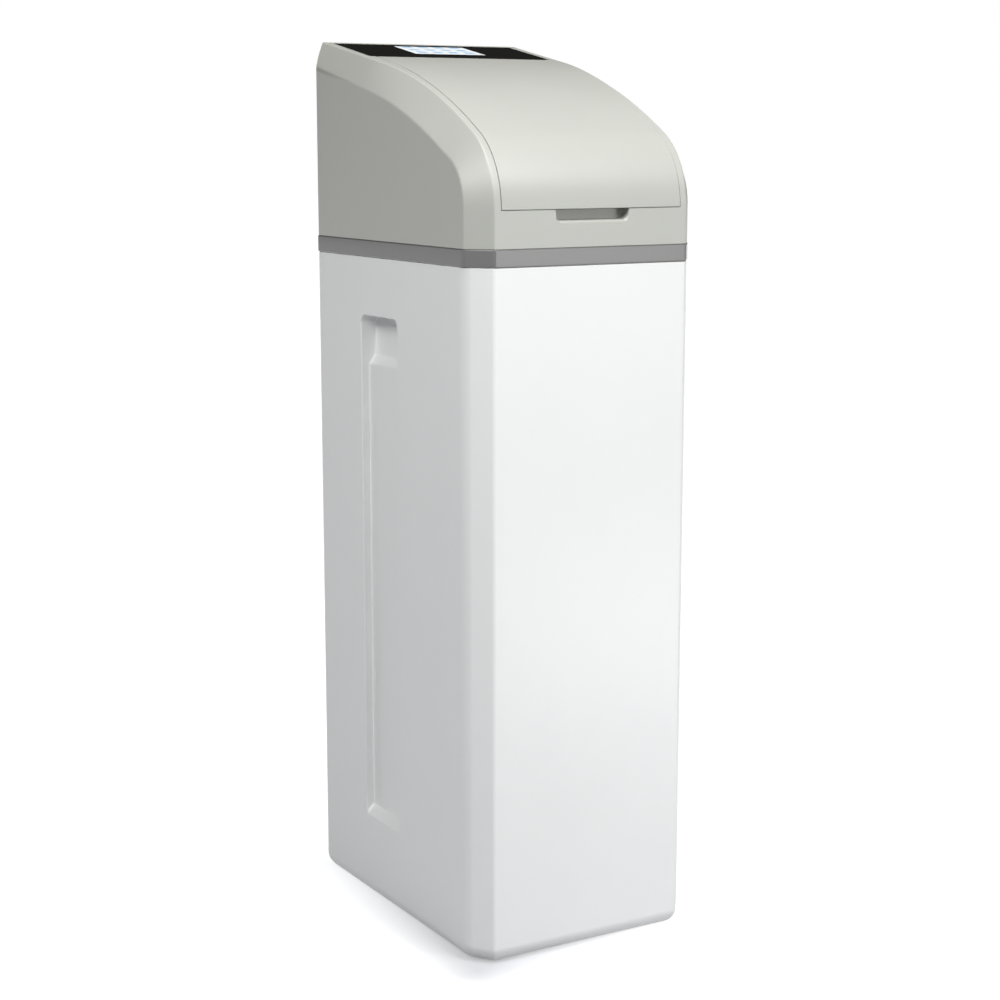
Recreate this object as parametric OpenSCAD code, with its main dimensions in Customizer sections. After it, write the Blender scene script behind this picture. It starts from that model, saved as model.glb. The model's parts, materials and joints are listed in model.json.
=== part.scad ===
// Cabinet water softener: a brine cabinet with a hooded top, a hinged salt lid and a sloped display panel.
// Inside are a resin pressure vessel with a rotary control valve, a bypass at the rear and a brine well.
// Millimetres. Origin on the floor under the middle of the cabinet, front towards -Y, up is +Z.

/* [Cabinet] */
// Width of the cabinet
cab_w = 330; // [320:1:360]
// Depth of the cabinet without the rear fittings
cab_d = 444; // [436:1:480]
// Height of the cabinet up to its rim
cab_h = 885; // [865:1:940]
// Wall of the moulded cabinet
cab_wall = 4; // [3:0.5:5]
// Front corner bevel, measured along the front
bevel_w = 25; // [20:1:28]
// Front corner bevel, measured along the side
bevel_d = 32; // [26:1:36]
// Rounding of the bottom edge
foot_r = 22; // [14:1:24]
// Rounding of the upright rear edges
rear_r = 12; // [9:1:16]

/* [Side grips] */
// Distance from the front face to the grip
grip_setback = 206; // [196:1:216]
// Width of the grip and of the groove below it
grip_w = 103; // [90:1:110]
// Distance from the rim down to the grip
grip_drop = 77; // [65:1:90]
// Height of the deep hand pocket
grip_hand_h = 51; // [40:1:60]
// Height of the sloped ledge under the hand pocket
grip_ledge_h = 19; // [12:1:26]
// Length of the grip and groove together
grip_len = 690; // [600:5:720]
// Depth of the hand pocket
grip_depth = 24; // [20:1:26]
// Depth of the long groove
groove_depth = 12; // [8:1:15]
// Height of the slope at the groove's lower end
groove_run_out = 22; // [14:1:30]
// Corner rounding of the grip outline
grip_r = 11; // [6:1:16]

/* [Collar band] */
// Height of the band between cabinet and hood
collar_h = 22; // [18:1:28]
// How far the band stands proud of the cabinet
collar_proud = 0.8; // [0:0.1:1.5]
// Thickness of the band's locating tongues
tongue_t = 3; // [2:0.5:4]
// Height of the tongues above and below the band
tongue_h = 12; // [8:1:15]

/* [Hood] */
// Upright height of the hood's front below the lid
hood_front_h = 48; // [44:1:56]
// Radius of the hood's nose
nose_r = 106; // [98:1:114]
// Slope where the nose runs into the brow, in degrees
nose_slope = 31; // [29:1:33]
// Radius of the long brow curve
brow_r = 735; // [700:5:770]
// Slope of the flat top with the display, in degrees
panel_slope = 10.5; // [9.5:0.5:12]
// Wall of the hood
hood_wall = 3; // [2.5:0.5:3.5]
// Half width of the rear cut-out for the pipes
cutout_half = 108; // [104:1:112]
// Height of the rear cut-out above the port axis
cutout_rise = 72; // [64:1:80]

/* [Salt lid] */
// Strip of hood between the bevel's edge and the lid
lid_margin = 10; // [7:0.5:13]
// How far the lid starts below the nose arc
lid_drop = 2; // [1.5:0.1:3]
// Thickness of the lid
lid_t = 3; // [2.5:0.5:3.5]
// How far the lid stands proud of the hood
lid_proud = 1; // [0.5:0.1:1.5]
// Gap around the lid
lid_gap = 0.6; // [0.4:0.1:1]
// Gap between the lid's hinge edge and the display panel's place
hinge_gap = 2; // [1.8:0.1:2.6]
// Width of the ledge that the lid rests over
ledge_w = 12; // [9:1:15]
// Thickness of the ledge
ledge_t = 3; // [2:0.5:4]
// Gap between the lid and its ledge
ledge_gap = 1.4; // [1.2:0.1:1.8]
// Radius of the lid's hinge barrel
barrel_r = 5.5; // [5:0.1:6]
// Radius of the hinge pins
pin_r = 2; // [1.5:0.1:2.5]
// Length of a hinge pin
pin_len = 24; // [20:1:28]
// Radial running clearance of every turning shaft
run_clear = 0.05; // [0.03:0.01:0.08]
// Width of the finger recess
recess_w = 105; // [90:1:120]
// Height of the finger recess
recess_h = 15; // [12:1:18]
// Depth of the finger recess
recess_d = 16; // [13:1:19]
// Wall of the finger recess
recess_wall = 2.5; // [2:0.5:3]
// Corner rounding of the finger recess
recess_r = 8; // [5:1:10]
// Radius of a lid bumper
bumper_r = 3; // [2.5:0.5:4]

/* [Display] */
// Strip of hood between the display panel and the rear
panel_setback = 8.5; // [7:0.5:12]
// Length of the panel along the slope
panel_len = 112; // [106:1:115]
// Thickness of the panel
panel_t = 3; // [2.5:0.5:4]
// Gap around the panel
panel_gap = 0.4; // [0.3:0.1:0.6]
// Thickness of the seat under the panel
seat_t = 3; // [2.5:0.5:4]
// Width of the display window
lcd_w = 122; // [110:1:130]
// Length of the display window along the slope
lcd_len = 66; // [58:1:70]
// Thickness of the display module
lcd_t = 5; // [4:0.5:7]
// Width of the electronics housing
housing_w = 200; // [190:1:220]
// Depth of the electronics housing
housing_depth = 30; // [24:1:34]
// Wall of the electronics housing
housing_wall = 2; // [1.5:0.5:3]
// Thickness of the circuit board
pcb_t = 1.6; // [1:0.2:2]

/* [Resin vessel] */
// Diameter of the vessel
vessel_d = 254; // [244:1:258]
// Wall of the vessel
vessel_wall = 5; // [4:0.5:7]
// Knuckle radius of the vessel's domes
dome_r = 90; // [80:1:96]
// Gap between the vessel and the rear wall
vessel_gap = 8; // [6:1:12]
// Height of the vessel's bottom above the cabinet floor
vessel_lift = 8; // [6:1:12]
// Rise of the neck's top above the cabinet rim
neck_rise = 20; // [18:1:24]
// Height of the neck above the dome
neck_h = 16; // [13:1:18]
// Outer radius of the neck
neck_r = 42; // [40:1:44]
// Radius of the neck's bore
neck_bore_r = 32; // [30:0.5:33]
// Radius of the vessel's base
base_r = 112; // [104:1:116]
// Height of the vessel's base
base_h = 66; // [56:1:74]
// Height of the resin bed
resin_h = 540; // [480:5:600]
// Outer radius of the riser tube
riser_r = 13.35; // [12.5:0.05:14]
// Wall of the riser tube
riser_wall = 2.4; // [1.6:0.1:3]
// Radius of the strainer baskets
strainer_r = 28; // [25:0.5:29.5]
// Height of the strainer baskets
strainer_h = 40; // [34:1:46]
// Clearance between fixed pieces that slip together
slip = 0.3; // [0.2:0.05:0.4]

/* [Control valve] */
// Height of the valve's tank flange
flange_h = 26; // [24:1:30]
// Radius of the valve's tank flange
flange_r = 46; // [44:0.5:48]
// Outer radius of the valve chamber
valve_r = 52; // [50:0.5:54]
// Inner radius of the valve chamber
chamber_r = 44; // [42:0.5:45]
// Height of the valve above the flange
valve_h = 70; // [68:1:76]
// Depth of the valve chamber
chamber_h = 42; // [38:1:43]
// Thickness of each ceramic disc
disc_t = 10; // [8:1:12]
// Thickness of the valve cap
cap_t = 10; // [8:1:12]
// Radius of the rotor shaft
shaft_r = 8; // [7:0.5:9]
// Radius of the rotor's upper journal
journal_r = 5; // [4:0.5:6]
// Height of the gears
gear_h = 10; // [8:1:12]
// Teeth on the drive gear
gear_teeth = 60; // [56:1:64]
// Teeth on the motor pinion
pinion_teeth = 12; // [12:1:14]
// Tooth size: pitch diameter over the number of teeth
gear_module = 1.5; // [1.4:0.05:1.55]
// Gap below and above the gears
gear_gap = 4; // [3:0.5:6]
// Thickness of the motor bracket
bracket_t = 4; // [3:0.5:5]
// Radius of the bracket's pillars
pillar_r = 5; // [4:0.5:6]
// Distance from the shaft to the pillars
pillar_at = 61; // [60:0.5:64]
// Radius of the drive motor
motor_r = 25; // [22:1:27]
// Height of the drive motor
motor_h = 22; // [18:1:28]
// Radius of the motor shaft
motor_shaft_r = 3; // [2.5:0.1:3.5]
// Radius of the small screws
screw_r = 2; // [1.5:0.1:2.2]
// Radius of the small screw heads
screw_head_r = 3.6; // [3.2:0.1:4]
// Height of the small screw heads
screw_head_h = 2.4; // [2:0.1:3]

/* [Pipes and bypass] */
// Distance between inlet and outlet
port_gap = 80; // [76:1:88]
// Outer radius of the valve's port pipes
port_r = 17; // [16:0.5:18]
// Bore radius of the ports
bore_r = 12; // [11:0.5:12.5]
// Distance from the valve axis to the ends of its port pipes
port_reach = 107; // [104:1:112]
// Outer radius of the bypass barrels
barrel_pipe_r = 19; // [18.5:0.5:20]
// Length of the bypass from coupling to pipe ends
bypass_len = 96; // [90:1:104]
// Outer radius of the bypass valve chambers
bypass_r = 24; // [23:0.5:25]
// Bore radius of the bypass valve chambers
plug_bore_r = 18; // [17:0.5:19]
// Half height of a bypass valve chamber
bypass_half_h = 25; // [24:1:27]
// Top and bottom wall of a bypass valve chamber
bypass_wall = 5; // [4:0.5:6]
// Distance from the bypass's coupling end to its chambers
bypass_at = 42; // [40:1:46]
// Radius of the bypass stems
stem_r = 8; // [7:0.5:9]
// Length of a bypass knob's bar
knob_len = 46; // [40:1:52]
// Height of a bypass knob
knob_h = 16; // [12:1:20]
// Outer radius of the threaded pipe ends
thread_r = 16.6; // [16:0.1:17]
// Length of the threaded pipe ends
thread_len = 22; // [18:1:24]
// Outer radius of the coupling nuts
nut_r = 24; // [22.5:0.5:26]
// Length of the coupling nuts
nut_len = 26; // [22:1:30]
// Radius of the side bosses on the valve
boss_r = 13; // [11:0.5:14]
// Reach of the side bosses beyond the valve chamber
boss_reach = 20; // [18:1:24]
// Height of the side bosses above the chamber floor
boss_rise = 16; // [14:1:18]
// Radius of the drain hose barb
drain_r = 8; // [7:0.5:9]

/* [Brine system] */
// Outer radius of the brine well
well_r = 45; // [42:1:48]
// Wall of the brine well
well_wall = 3; // [2:0.5:4]
// Gap between the brine well and the side wall
well_gap = 19; // [17:0.5:22]
// Distance from the front wall to the brine well
well_setback = 24; // [22:1:28]
// Distance from the cabinet rim down to the well's top
well_drop = 65; // [55:1:80]
// Radius of the brine line
line_r = 4.75; // [4:0.25:5]
// Bend radius of the brine line
line_bend = 20; // [16:1:22]
// Radius of the brine valve's body
brine_valve_r = 14; // [12:0.5:15]
// Height of the brine valve's body
brine_valve_h = 60; // [50:1:70]
// Radius of the float
float_r = 19; // [16:0.5:20]
// Height of the float
float_h = 60; // [50:1:80]
// Radius of the float rod
rod_r = 2; // [1.5:0.1:2.5]
// Travel of the float
float_travel = 15; // [10:1:20]
// Height of the salt grid above the cabinet floor
grid_lift = 92; // [80:1:100]
// Thickness of the salt grid
grid_t = 6; // [4:0.5:8]
// Radius of the salt grid's holes
grid_hole_r = 3; // [2:0.5:4]
// Spacing of the salt grid's holes
grid_pitch = 20; // [16:1:26]
// Height of the overflow above the floor
overflow_z = 700; // [640:5:740]
// Radius of the overflow spigot
overflow_r = 9; // [8:0.5:10]

/* [Hidden] */
$fn = 64;
far = 2000;

// Main planes and levels
front = -cab_d / 2;
back = cab_d / 2;
side = cab_w / 2;
collar_z = cab_h;
hood_z = collar_z + collar_h;
nose_z = hood_z + hood_front_h;
bevel_l = sqrt(bevel_w * bevel_w + bevel_d * bevel_d);
bevel_foot_less = 2;

// Hood profile in the Y-Z plane: upright front, nose arc, brow arc and flat top
function normal(slope) = [-sin(slope), cos(slope)];
nose_c = [front + nose_r, nose_z];
brow_c = nose_c - normal(nose_slope) * (brow_r - nose_r);
brow_end = brow_c + normal(panel_slope) * brow_r;
function on_top(run, depth) =
    brow_end + run * [cos(panel_slope), sin(panel_slope)] - depth * normal(panel_slope);
function run_at(y, depth) = (y - brow_end[0] - depth * sin(panel_slope)) / cos(panel_slope);

// The display panel keeps to the rear, so the flat run that is left for the lid follows the depth
lid_top_run = run_at(back, 0) - panel_setback - panel_len;

// How far cuts run past the faces that they open, and joined stretches of one piece into each other
over = 1;

// Salt lid and its hinge
crease = side - bevel_w;
lid_half = crease - lid_margin;
lid_low = nose_z - lid_drop;
lid_cut_half = lid_half + lid_gap;
mouth_half = lid_cut_half - ledge_w;
ledge_in = lid_t - lid_proud + ledge_gap;
hinge_run = lid_top_run - hinge_gap - barrel_r;
hinge = on_top(hinge_run, barrel_r - lid_proud);
cheek_t = 3;
pin_boss_r = barrel_r - lid_proud - slip;
pin_boss_t = 7;
cheek_reach = 8;
ledge_drop = 4;
lip_rise = 10;
lip_drop = 8;
bumper_lift = 1;

// Display
panel_inset = 1.5;
lcd_shift = 8;
housing_inset = 12;
board_gap = 1;
post_r = 8;
screw_inset = 9;
screw_seat = 0.5;
screw_sink = 0.6;
panel_half = crease - panel_inset;
panel_mid = lid_top_run + panel_len / 2;
lcd_mid = panel_mid + lcd_shift;
seat_in = panel_t + seat_t;
housing_len = panel_len - 2 * housing_inset;

// Resin vessel and valve, both on one upright axis
vessel_r = vessel_d / 2;
vessel_y = back - cab_wall - vessel_gap - vessel_r;
vessel_z = cab_wall + vessel_lift;
neck_z = cab_h + neck_rise;
dome_z = neck_z - neck_h;
flange_z = neck_z + flange_h;
valve_z = flange_z + valve_h;
chamber_z = valve_z - chamber_h;
cap_z = valve_z + cap_t;
gear_z = cap_z + gear_gap;
bracket_z = gear_z + gear_h + gear_gap;
spigot_h = 28;
seal_t = 3;
seal_inset = 1;
neck_sink = 6;
riser_gap = 8;
boss_floor = 2;
bolt_depth = 12;
disc_port_r = 6;
disc_port_at = 0.62 * chamber_r;
shaft_seal_w = 3.5;
shaft_seal_h = 4;
pillar_screw_floor = 2;
motor_shaft_in = 6;
gear_pitch_r = gear_teeth * gear_module / 2;
pinion_pitch_r = pinion_teeth * gear_module / 2;
motor_at = gear_pitch_r + pinion_pitch_r;
pillar_angles = [100, 180, 260];
cap_bolt_r = (valve_r + chamber_r) / 2;
cap_bolts = 6;

// Pipes behind the valve
port_x = port_gap / 2;
port_sink = 2;
port_z = flange_z + port_r - port_sink;
coupling_y = vessel_y + port_reach;
bypass_y = coupling_y + bypass_at;
bypass_end = coupling_y + bypass_len;
boss_z = chamber_z + boss_rise;
boss_x = valve_r + boss_reach;
drain_shift = 8;
brine_shift = 25;
drain_out = 14;
drain_y = vessel_y + drain_shift;
brine_y = vessel_y - brine_shift;
drain_end = back + drain_out;

// Brine system
well_x = side - cab_wall - well_gap - well_r;
well_y = front + cab_wall + well_setback + well_r;
well_top = cab_h - well_drop;
line_shift = 8;
pipe_shift = 10;
rod_shift = 19;
brine_valve_drop = 120;
rod_guide_rise = 10;
rod_guide_t = 6;
float_drop = 330;
overflow_inset = 45;
line_x = well_x + line_shift;
pipe_x = well_x - pipe_shift;
rod_x = well_x + rod_shift;
brine_valve_z = well_top - brine_valve_drop;
rod_guide_z = brine_valve_z + rod_guide_rise;
float_z = brine_valve_z - float_drop;
overflow_x = side - overflow_inset;

// The valve's brine boss ends where the elbow on it leaves room for the line's bend
brine_boss_r = 10;
brine_elbow_len = 12;
brine_elbow_in = 8;
line_in = 8;
brine_boss_x = line_x - line_bend - brine_elbow_len - over;

// Straight round bars along each axis
module bar_x(r, x0, x1, y, z) { translate([x0, y, z]) rotate([0, 90, 0]) cylinder(r = r, h = x1 - x0); }
module bar_y(r, y0, y1, x, z) { translate([x, y0, z]) rotate([-90, 0, 0]) cylinder(r = r, h = y1 - y0); }
module bar_z(r, z0, z1, x, y) { translate([x, y, z0]) cylinder(r = r, h = z1 - z0); }
module block(x0, x1, y0, y1, z0, z1) { translate([x0, y0, z0]) cube([x1 - x0, y1 - y0, z1 - z0]); }

// Quarter bend of a round bar in the X-Y plane, from the X axis to the Y axis
module elbow(bend, r) { rotate_extrude(angle = 90) translate([bend, 0]) circle(r); }

// Draws a Y-Z outline as a body of the given width, centred on X
module across(width) { rotate([90, 0, 90]) linear_extrude(width, center = true) children(); }

// Puts a child drawn in X, run along the slope and depth below the top into the hood's frame
module on_slope() {
    translate([0, brow_end[0], brow_end[1]]) rotate([panel_slope, 0, 0]) children();
}

// A plate on the slope: half width, first and last run, first and last depth
module slope_plate(half, run0, run1, depth0, depth1) {
    on_slope() block(-half, half, run0, run1, -depth1, -depth0);
}

// Rectangle with its two lower corners rounded
module round_bottom(width, height, r) {
    translate([-width / 2, r]) square([width, height - r]);
    translate([r - width / 2, 0]) square([width - 2 * r, height]);
    for (s = [-1, 1]) translate([s * (width / 2 - r), r]) circle(r);
}

// Plan outline with rounded rear corners and a plain front at the given Y
module rear_plan(t, y0) {
    translate([t - side, y0]) square([cab_w - 2 * t, back - rear_r - y0]);
    translate([rear_r - side, back - rear_r]) square([cab_w - 2 * rear_r, rear_r - t]);
    for (s = [-1, 1]) translate([s * (side - rear_r), back - rear_r]) circle(rear_r - t);
}

// Where the inset bevel leaves the front and the side
function bevel_on_front(t) = bevel_w + t * (bevel_l - bevel_w) / bevel_d;
function bevel_on_side(t) = bevel_d + t * (bevel_l - bevel_d) / bevel_w;

// Plan outline of the cabinet, inset by t
module plan(t) {
    u = side - bevel_on_front(t);
    v = front + bevel_on_side(t);
    polygon([[-u, front + t], [u, front + t], [side - t, v], [t - side, v]]);
    rear_plan(t, v);
}

// Cabinet form with rounded bottom edges, inset by t, up to the given height
module cabinet_form(t, top) {
    r = foot_r - t;
    h = top - t;
    difference() {
        intersection() {
            translate([0, 0, t]) across(far) round_bottom(cab_d - 2 * t, h, r);
            translate([0, 0, t]) rotate([90, 0, 0]) linear_extrude(far, center = true)
                round_bottom(cab_w - 2 * t, h, r);
            for_bevels() translate([t, 0, t]) rotate([90, 0, 0]) linear_extrude(far, center = true)
                translate([far / 2, 0]) round_bottom(far, h, r - bevel_foot_less);
        }
        both_sides() translate([side - rear_r, back - rear_r, -over]) linear_extrude(far) difference() {
            square(rear_r + over);
            circle(rear_r - t);
        }
    }
}

// Intersection of a child placed with its X axis square to each front bevel
module for_bevels() {
    turn = atan2(bevel_w, bevel_d);
    intersection() {
        translate([bevel_w - side, front, 0]) rotate([0, 0, turn]) children();
        translate([side - bevel_w, front, 0]) rotate([0, 0, 180 - turn]) children();
    }
}

// Outline of a grip seen from the side, grown by g
module grip_outline(g) {
    y0 = front + grip_setback - g;
    z1 = cab_h - grip_drop + g;
    w = grip_w + 2 * g;
    h = grip_len + 2 * g;
    translate([y0 + grip_r, z1 - h]) square([w - 2 * grip_r, h]);
    translate([y0, z1 - h + grip_r]) square([w, h - 2 * grip_r]);
    for (y = [y0 + grip_r, y0 + w - grip_r], z = [z1 - h + grip_r, z1 - grip_r])
        translate([y, z]) circle(grip_r);
}

// Depth profile of a grip in the X-Z plane for the right side, grown by g
module grip_section(g) {
    top = cab_h - grip_drop;
    low = top - grip_len;
    hand = top - grip_hand_h;
    ledge = hand - grip_ledge_h;
    deep = side - grip_depth - g;
    groove = side - groove_depth - g;
    lip = side + over;
    polygon([[lip, top + g], [deep, top + g], [deep, hand - g], [groove, ledge - g],
        [groove, low + groove_run_out - g], [side - g, low - g], [lip, low - g]]);
}

// Solid of a right-hand grip pocket, grown by g
module grip_pocket(g) {
    intersection() {
        across(far) grip_outline(g);
        rotate([90, 0, 0]) linear_extrude(far, center = true) grip_section(g);
    }
}

// Both sides of the cabinet
module both_sides() {
    children();
    mirror([1, 0, 0]) children();
}

module cabinet() {
    color("white") difference() {
        union() {
            difference() {
                cabinet_form(0, cab_h);
                cabinet_form(cab_wall, cab_h + over);
            }
            both_sides() intersection() {
                grip_pocket(cab_wall);
                block(0, side - cab_wall / 2, front, back, 0, cab_h);
            }
        }
        both_sides() grip_pocket(0);
        bar_y(overflow_r + slip, back - 2 * cab_wall, back + over, overflow_x, overflow_z);
    }
}

// Ring between two insets of the plan
module plan_ring(outer, inner, z0, z1) {
    translate([0, 0, z0]) linear_extrude(z1 - z0) difference() {
        plan(outer);
        plan(inner);
    }
}

module collar_band() {
    low_in = cab_wall + slip;
    high_in = hood_wall + slip;
    in = max(low_in, high_in) + tongue_t;
    color("gray") difference() {
        union() {
            plan_ring(-collar_proud, in, collar_z, hood_z);
            plan_ring(low_in, in, collar_z - tongue_h, collar_z);
            plan_ring(high_in, in, hood_z, hood_z + tongue_h);
        }
        hood_screw_places() bar_y(screw_r, back - 2 * in, back + over, 0, 0);
        block(-cutout_half, cutout_half, back - 2 * in, back, hood_z, hood_z + tongue_h + over);
    }
}

// Outline of the hood in the Y-Z plane, inset by t, above the given height and run on past the rear.
// Its stretches lap over each other, by a length or a turn.
seam_lap = 5;
seam_turn = 1;
seam_ease = 0.002;
module hood_profile(t, z0) {
    reach = 2 * nose_r;
    far_brow = 2 * brow_r;
    low = nose_z - seam_lap;
    past = back + reach;
    top_back = on_top(run_at(past, t), t);
    translate([front + t, z0]) square([past - front - t, nose_z - z0]);
    intersection() {
        translate(nose_c) circle(nose_r - t, $fn = 128);
        polygon([nose_c + [seam_lap, -seam_lap], nose_c + [-reach, -seam_lap], nose_c + [-reach, reach],
            nose_c + normal(nose_slope - seam_lap) * reach]);
    }
    intersection() {
        translate(brow_c) circle(brow_r - t, $fn = 512);
        polygon([brow_c, brow_c + normal(nose_slope) * far_brow,
            brow_c + normal(panel_slope - seam_turn) * far_brow]);
        translate([nose_c[0] - nose_r / 2, low]) square([cab_d, far]);
    }
    polygon([on_top(0, t), top_back, [past, low], [brow_end[0], low]]);
}

// Section across the hood's bevels, in X and in depth below its surface, inset by t and run on past both ends
bevel_over = 5;
bevel_rise = 15;
bevel_deep = 300;
function bevel_section(t, depth) =
    let (u = side - bevel_on_front(t), x = side + bevel_over, fall = bevel_d / bevel_w)
    let (high = t - bevel_rise * fall, low = t + (x - u) * fall)
    [[bevel_rise - u, high], [u - bevel_rise, high], [x, low], [x, depth], [-x, depth], [-x, low]];

// Part of the hood's bevels that turns about an axis along X through a centre in the Y-Z plane
module bevel_turn(centre, r, t, depth, from, to) {
    translate([0, centre[0], centre[1]]) rotate([90, 0, 90]) rotate([0, 0, 90 + to])
        rotate_extrude(angle = from - to, $fn = 256)
            polygon([for (p = bevel_section(t, depth)) [r - p[1], p[0]]]);
}

// Space between the hood's bevels, inset by t, from below the given height
module bevel_form(t, z0) {
    low = z0 - bevel_rise;
    end = side + bevel_over;
    translate([0, front, low]) linear_extrude(nose_z - low) polygon(bevel_section(t, far));
    bevel_turn(nose_c, nose_r, t, nose_r, nose_slope - seam_lap, 90 + seam_lap);
    bar_x(seam_lap, -end, end, nose_c[0], nose_c[1]);
    bevel_turn(brow_c, brow_r - seam_ease, t, bevel_deep, panel_slope - seam_turn, nose_slope);
    translate([0, brow_end[0], brow_end[1] - seam_ease]) rotate([panel_slope - 90, 0, 0])
        linear_extrude(cab_d) polygon(bevel_section(t, bevel_deep));
}

// Hood as a solid, inset by t, above the given height
module hood_form(t, z0) {
    intersection() {
        translate([0, 0, z0]) linear_extrude(far) rear_plan(t, front - bevel_rise);
        across(far) hood_profile(t, z0 - bevel_rise);
        bevel_form(t, z0);
    }
}

// Y-Z region that the lid covers, between two insets and from the given height
module lid_zone(outer, inner, z0, run) {
    intersection() {
        difference() {
            hood_profile(outer, hood_z);
            hood_profile(inner, hood_z - over);
        }
        translate([front - bevel_rise, z0]) square([cab_d, far]);
        translate(brow_end) rotate(panel_slope) translate([run - far, -far / 2]) square([far, far]);
    }
}

// Upright outline of the finger recess, grown by g
module recess_outline(g, top) {
    low = nose_z - recess_h - g;
    intersection() {
        translate([0, low]) round_bottom(recess_w + 2 * g, recess_h + 2 * recess_r, recess_r + g);
        translate([-recess_w, low]) square([2 * recess_w, top - low]);
    }
}

// Finger recess body, grown by g, from y0 to y1 and up to the given height
module recess_body(g, y0, y1, top) {
    translate([0, y1, 0]) rotate([90, 0, 0]) linear_extrude(y1 - y0) recess_outline(g, top);
}

// Places of the two screws that hold the hood to the collar, at the rear
hood_screw_inset = 25;
module hood_screw_places() {
    for (s = [-1, 1]) translate([s * (side - hood_screw_inset), 0, hood_z + tongue_h / 2]) children();
}

// Places of the four display screws, in X and run
module display_screw_places() {
    for (s = [-1, 1], e = [-1, 1])
        translate([s * (housing_w / 2 - screw_inset), panel_mid + e * (housing_len / 2 - screw_inset), 0])
            children();
}

module hood() {
    lip_z = nose_z + lip_rise;
    lip_y = front + ledge_in;
    lip_half = lid_cut_half + cheek_t / 2;
    color("gainsboro") difference() {
        union() {
            difference() {
                hood_form(0, hood_z);
                hood_form(hood_wall, hood_z - over);
                across(2 * lid_cut_half) lid_zone(-bevel_rise, hood_wall + over, lid_low, lid_top_run);
            }
            both_sides() translate([lid_cut_half + cheek_t / 2, 0, 0])
                across(cheek_t)
                    lid_zone(hood_wall / 3, ledge_in + ledge_t, nose_z + over, lid_top_run + cheek_reach);
            both_sides() translate([(mouth_half + lid_cut_half + cheek_t) / 2, 0, 0])
                across(ledge_w + cheek_t)
                    lid_zone(ledge_in, ledge_in + ledge_t, nose_z - ledge_drop, hinge_run - barrel_r - ledge_t);
            block(-lip_half, lip_half, lip_y, lip_y + ledge_t, nose_z - lip_drop, lip_z);
            block(-lip_half, lip_half, front + hood_wall / 2, lip_y + over, nose_z - lip_drop, lid_low - over);
            both_sides() bar_x(pin_boss_r, lid_cut_half, lid_cut_half + pin_boss_t, hinge[0], hinge[1]);
            recess_body(recess_wall, front + hood_wall / 2, lip_y + over, lid_low);
            recess_body(recess_wall, lip_y, front + recess_d + recess_wall, lip_z);
            slope_plate(crease, lid_top_run + over, lid_top_run + panel_len + seat_t, panel_t, seat_in);
        }
        recess_body(0, front - over, front + recess_d, lip_z + over);
        slope_plate(panel_half, lid_top_run - over, lid_top_run + panel_len, -over, panel_t);
        slope_plate(lcd_w / 2, lcd_mid - lcd_len / 2, lcd_mid + lcd_len / 2, -over, seat_in + over);
        both_sides() bar_x(pin_r, lid_cut_half - over, lid_cut_half + pin_boss_t + over, hinge[0], hinge[1]);
        block(-cutout_half, cutout_half, back - rear_r, back + over, hood_z - over, port_z + cutout_rise);
        hood_screw_places() bar_y(screw_r + slip, back - 2 * hood_wall, back + over, 0, 0);
        bar_y(grommet_r, back - 2 * hood_wall, back + over, grommet_x, grommet_z);
        on_slope() display_screw_places() bar_z(screw_r, -seat_in - over, -panel_t - screw_seat, 0, 0);
    }
}

module salt_lid() {
    inner = lid_t - lid_proud;
    color("gainsboro") difference() {
        union() {
            across(2 * lid_half) lid_zone(-lid_proud, inner, lid_low + lid_gap, hinge_run);
            bar_x(barrel_r, -lid_half, lid_half, hinge[0], hinge[1]);
        }
        both_sides() bar_x(pin_r + run_clear, pin_start - over, lid_half + over, hinge[0], hinge[1]);
    }
}

// Hinge pins reach from the hood's bosses into the barrel
pin_start = lid_cut_half + pin_boss_t - pin_len;
module hinge_pins() {
    color("silver") both_sides() bar_x(pin_r, pin_start, pin_start + pin_len, hinge[0], hinge[1]);
}

module lid_bumpers() {
    thick = ledge_gap - 2 * slip;
    at = lid_half - 2 * bumper_r - ledge_w;
    color("dimgray") both_sides()
        bar_y(bumper_r, front + ledge_in - thick, front + ledge_in, at, nose_z + bumper_lift + bumper_r);
}

module panel_glass() {
    color([0.06, 0.06, 0.05]) slope_plate(panel_half - panel_gap, lid_top_run + panel_gap,
        lid_top_run + panel_len - panel_gap, 0, panel_t);
}

module lcd_module() {
    color("lightblue") slope_plate(lcd_w / 2 - panel_gap, lcd_mid - lcd_len / 2 + panel_gap,
        lcd_mid + lcd_len / 2 - panel_gap, panel_t, panel_t + lcd_t);
}

module control_board() {
    half_w = housing_w / 2 - 2 * screw_inset;
    half_len = housing_len / 2 - housing_wall - board_gap;
    depth = panel_t + lcd_t;
    color("darkgreen") slope_plate(half_w, panel_mid - half_len, panel_mid + half_len, depth, depth + pcb_t);
}

module display_housing() {
    low = seat_in + housing_depth;
    color("darkslategray") difference() {
        slope_plate(housing_w / 2, panel_mid - housing_len / 2, panel_mid + housing_len / 2, seat_in, low);
        difference() {
            slope_plate(housing_w / 2 - housing_wall, panel_mid - housing_len / 2 + housing_wall,
                panel_mid + housing_len / 2 - housing_wall, seat_in - over, low - housing_wall);
            on_slope() display_screw_places() bar_z(post_r, -low, 0, 0, 0);
        }
        on_slope() display_screw_places() {
            bar_z(screw_r + slip, -low - over, 0, 0, 0);
            bar_z(screw_head_r + slip, -low - over, housing_wall - low, 0, 0);
        }
    }
}

module display_screws() {
    head = seat_in + housing_depth - housing_wall;
    color("silver") on_slope() display_screw_places() {
        bar_z(screw_r, -head, -panel_t - screw_seat, 0, 0);
        bar_z(screw_head_r, -head - screw_head_h + screw_sink, -head, 0, 0);
    }
}

module hood_screws() {
    color("silver") hood_screw_places() {
        bar_y(screw_r, back - hood_wall - slip - tongue_t, back, 0, 0);
        bar_y(screw_head_r, back, back + screw_head_h, 0, 0);
    }
}

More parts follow.
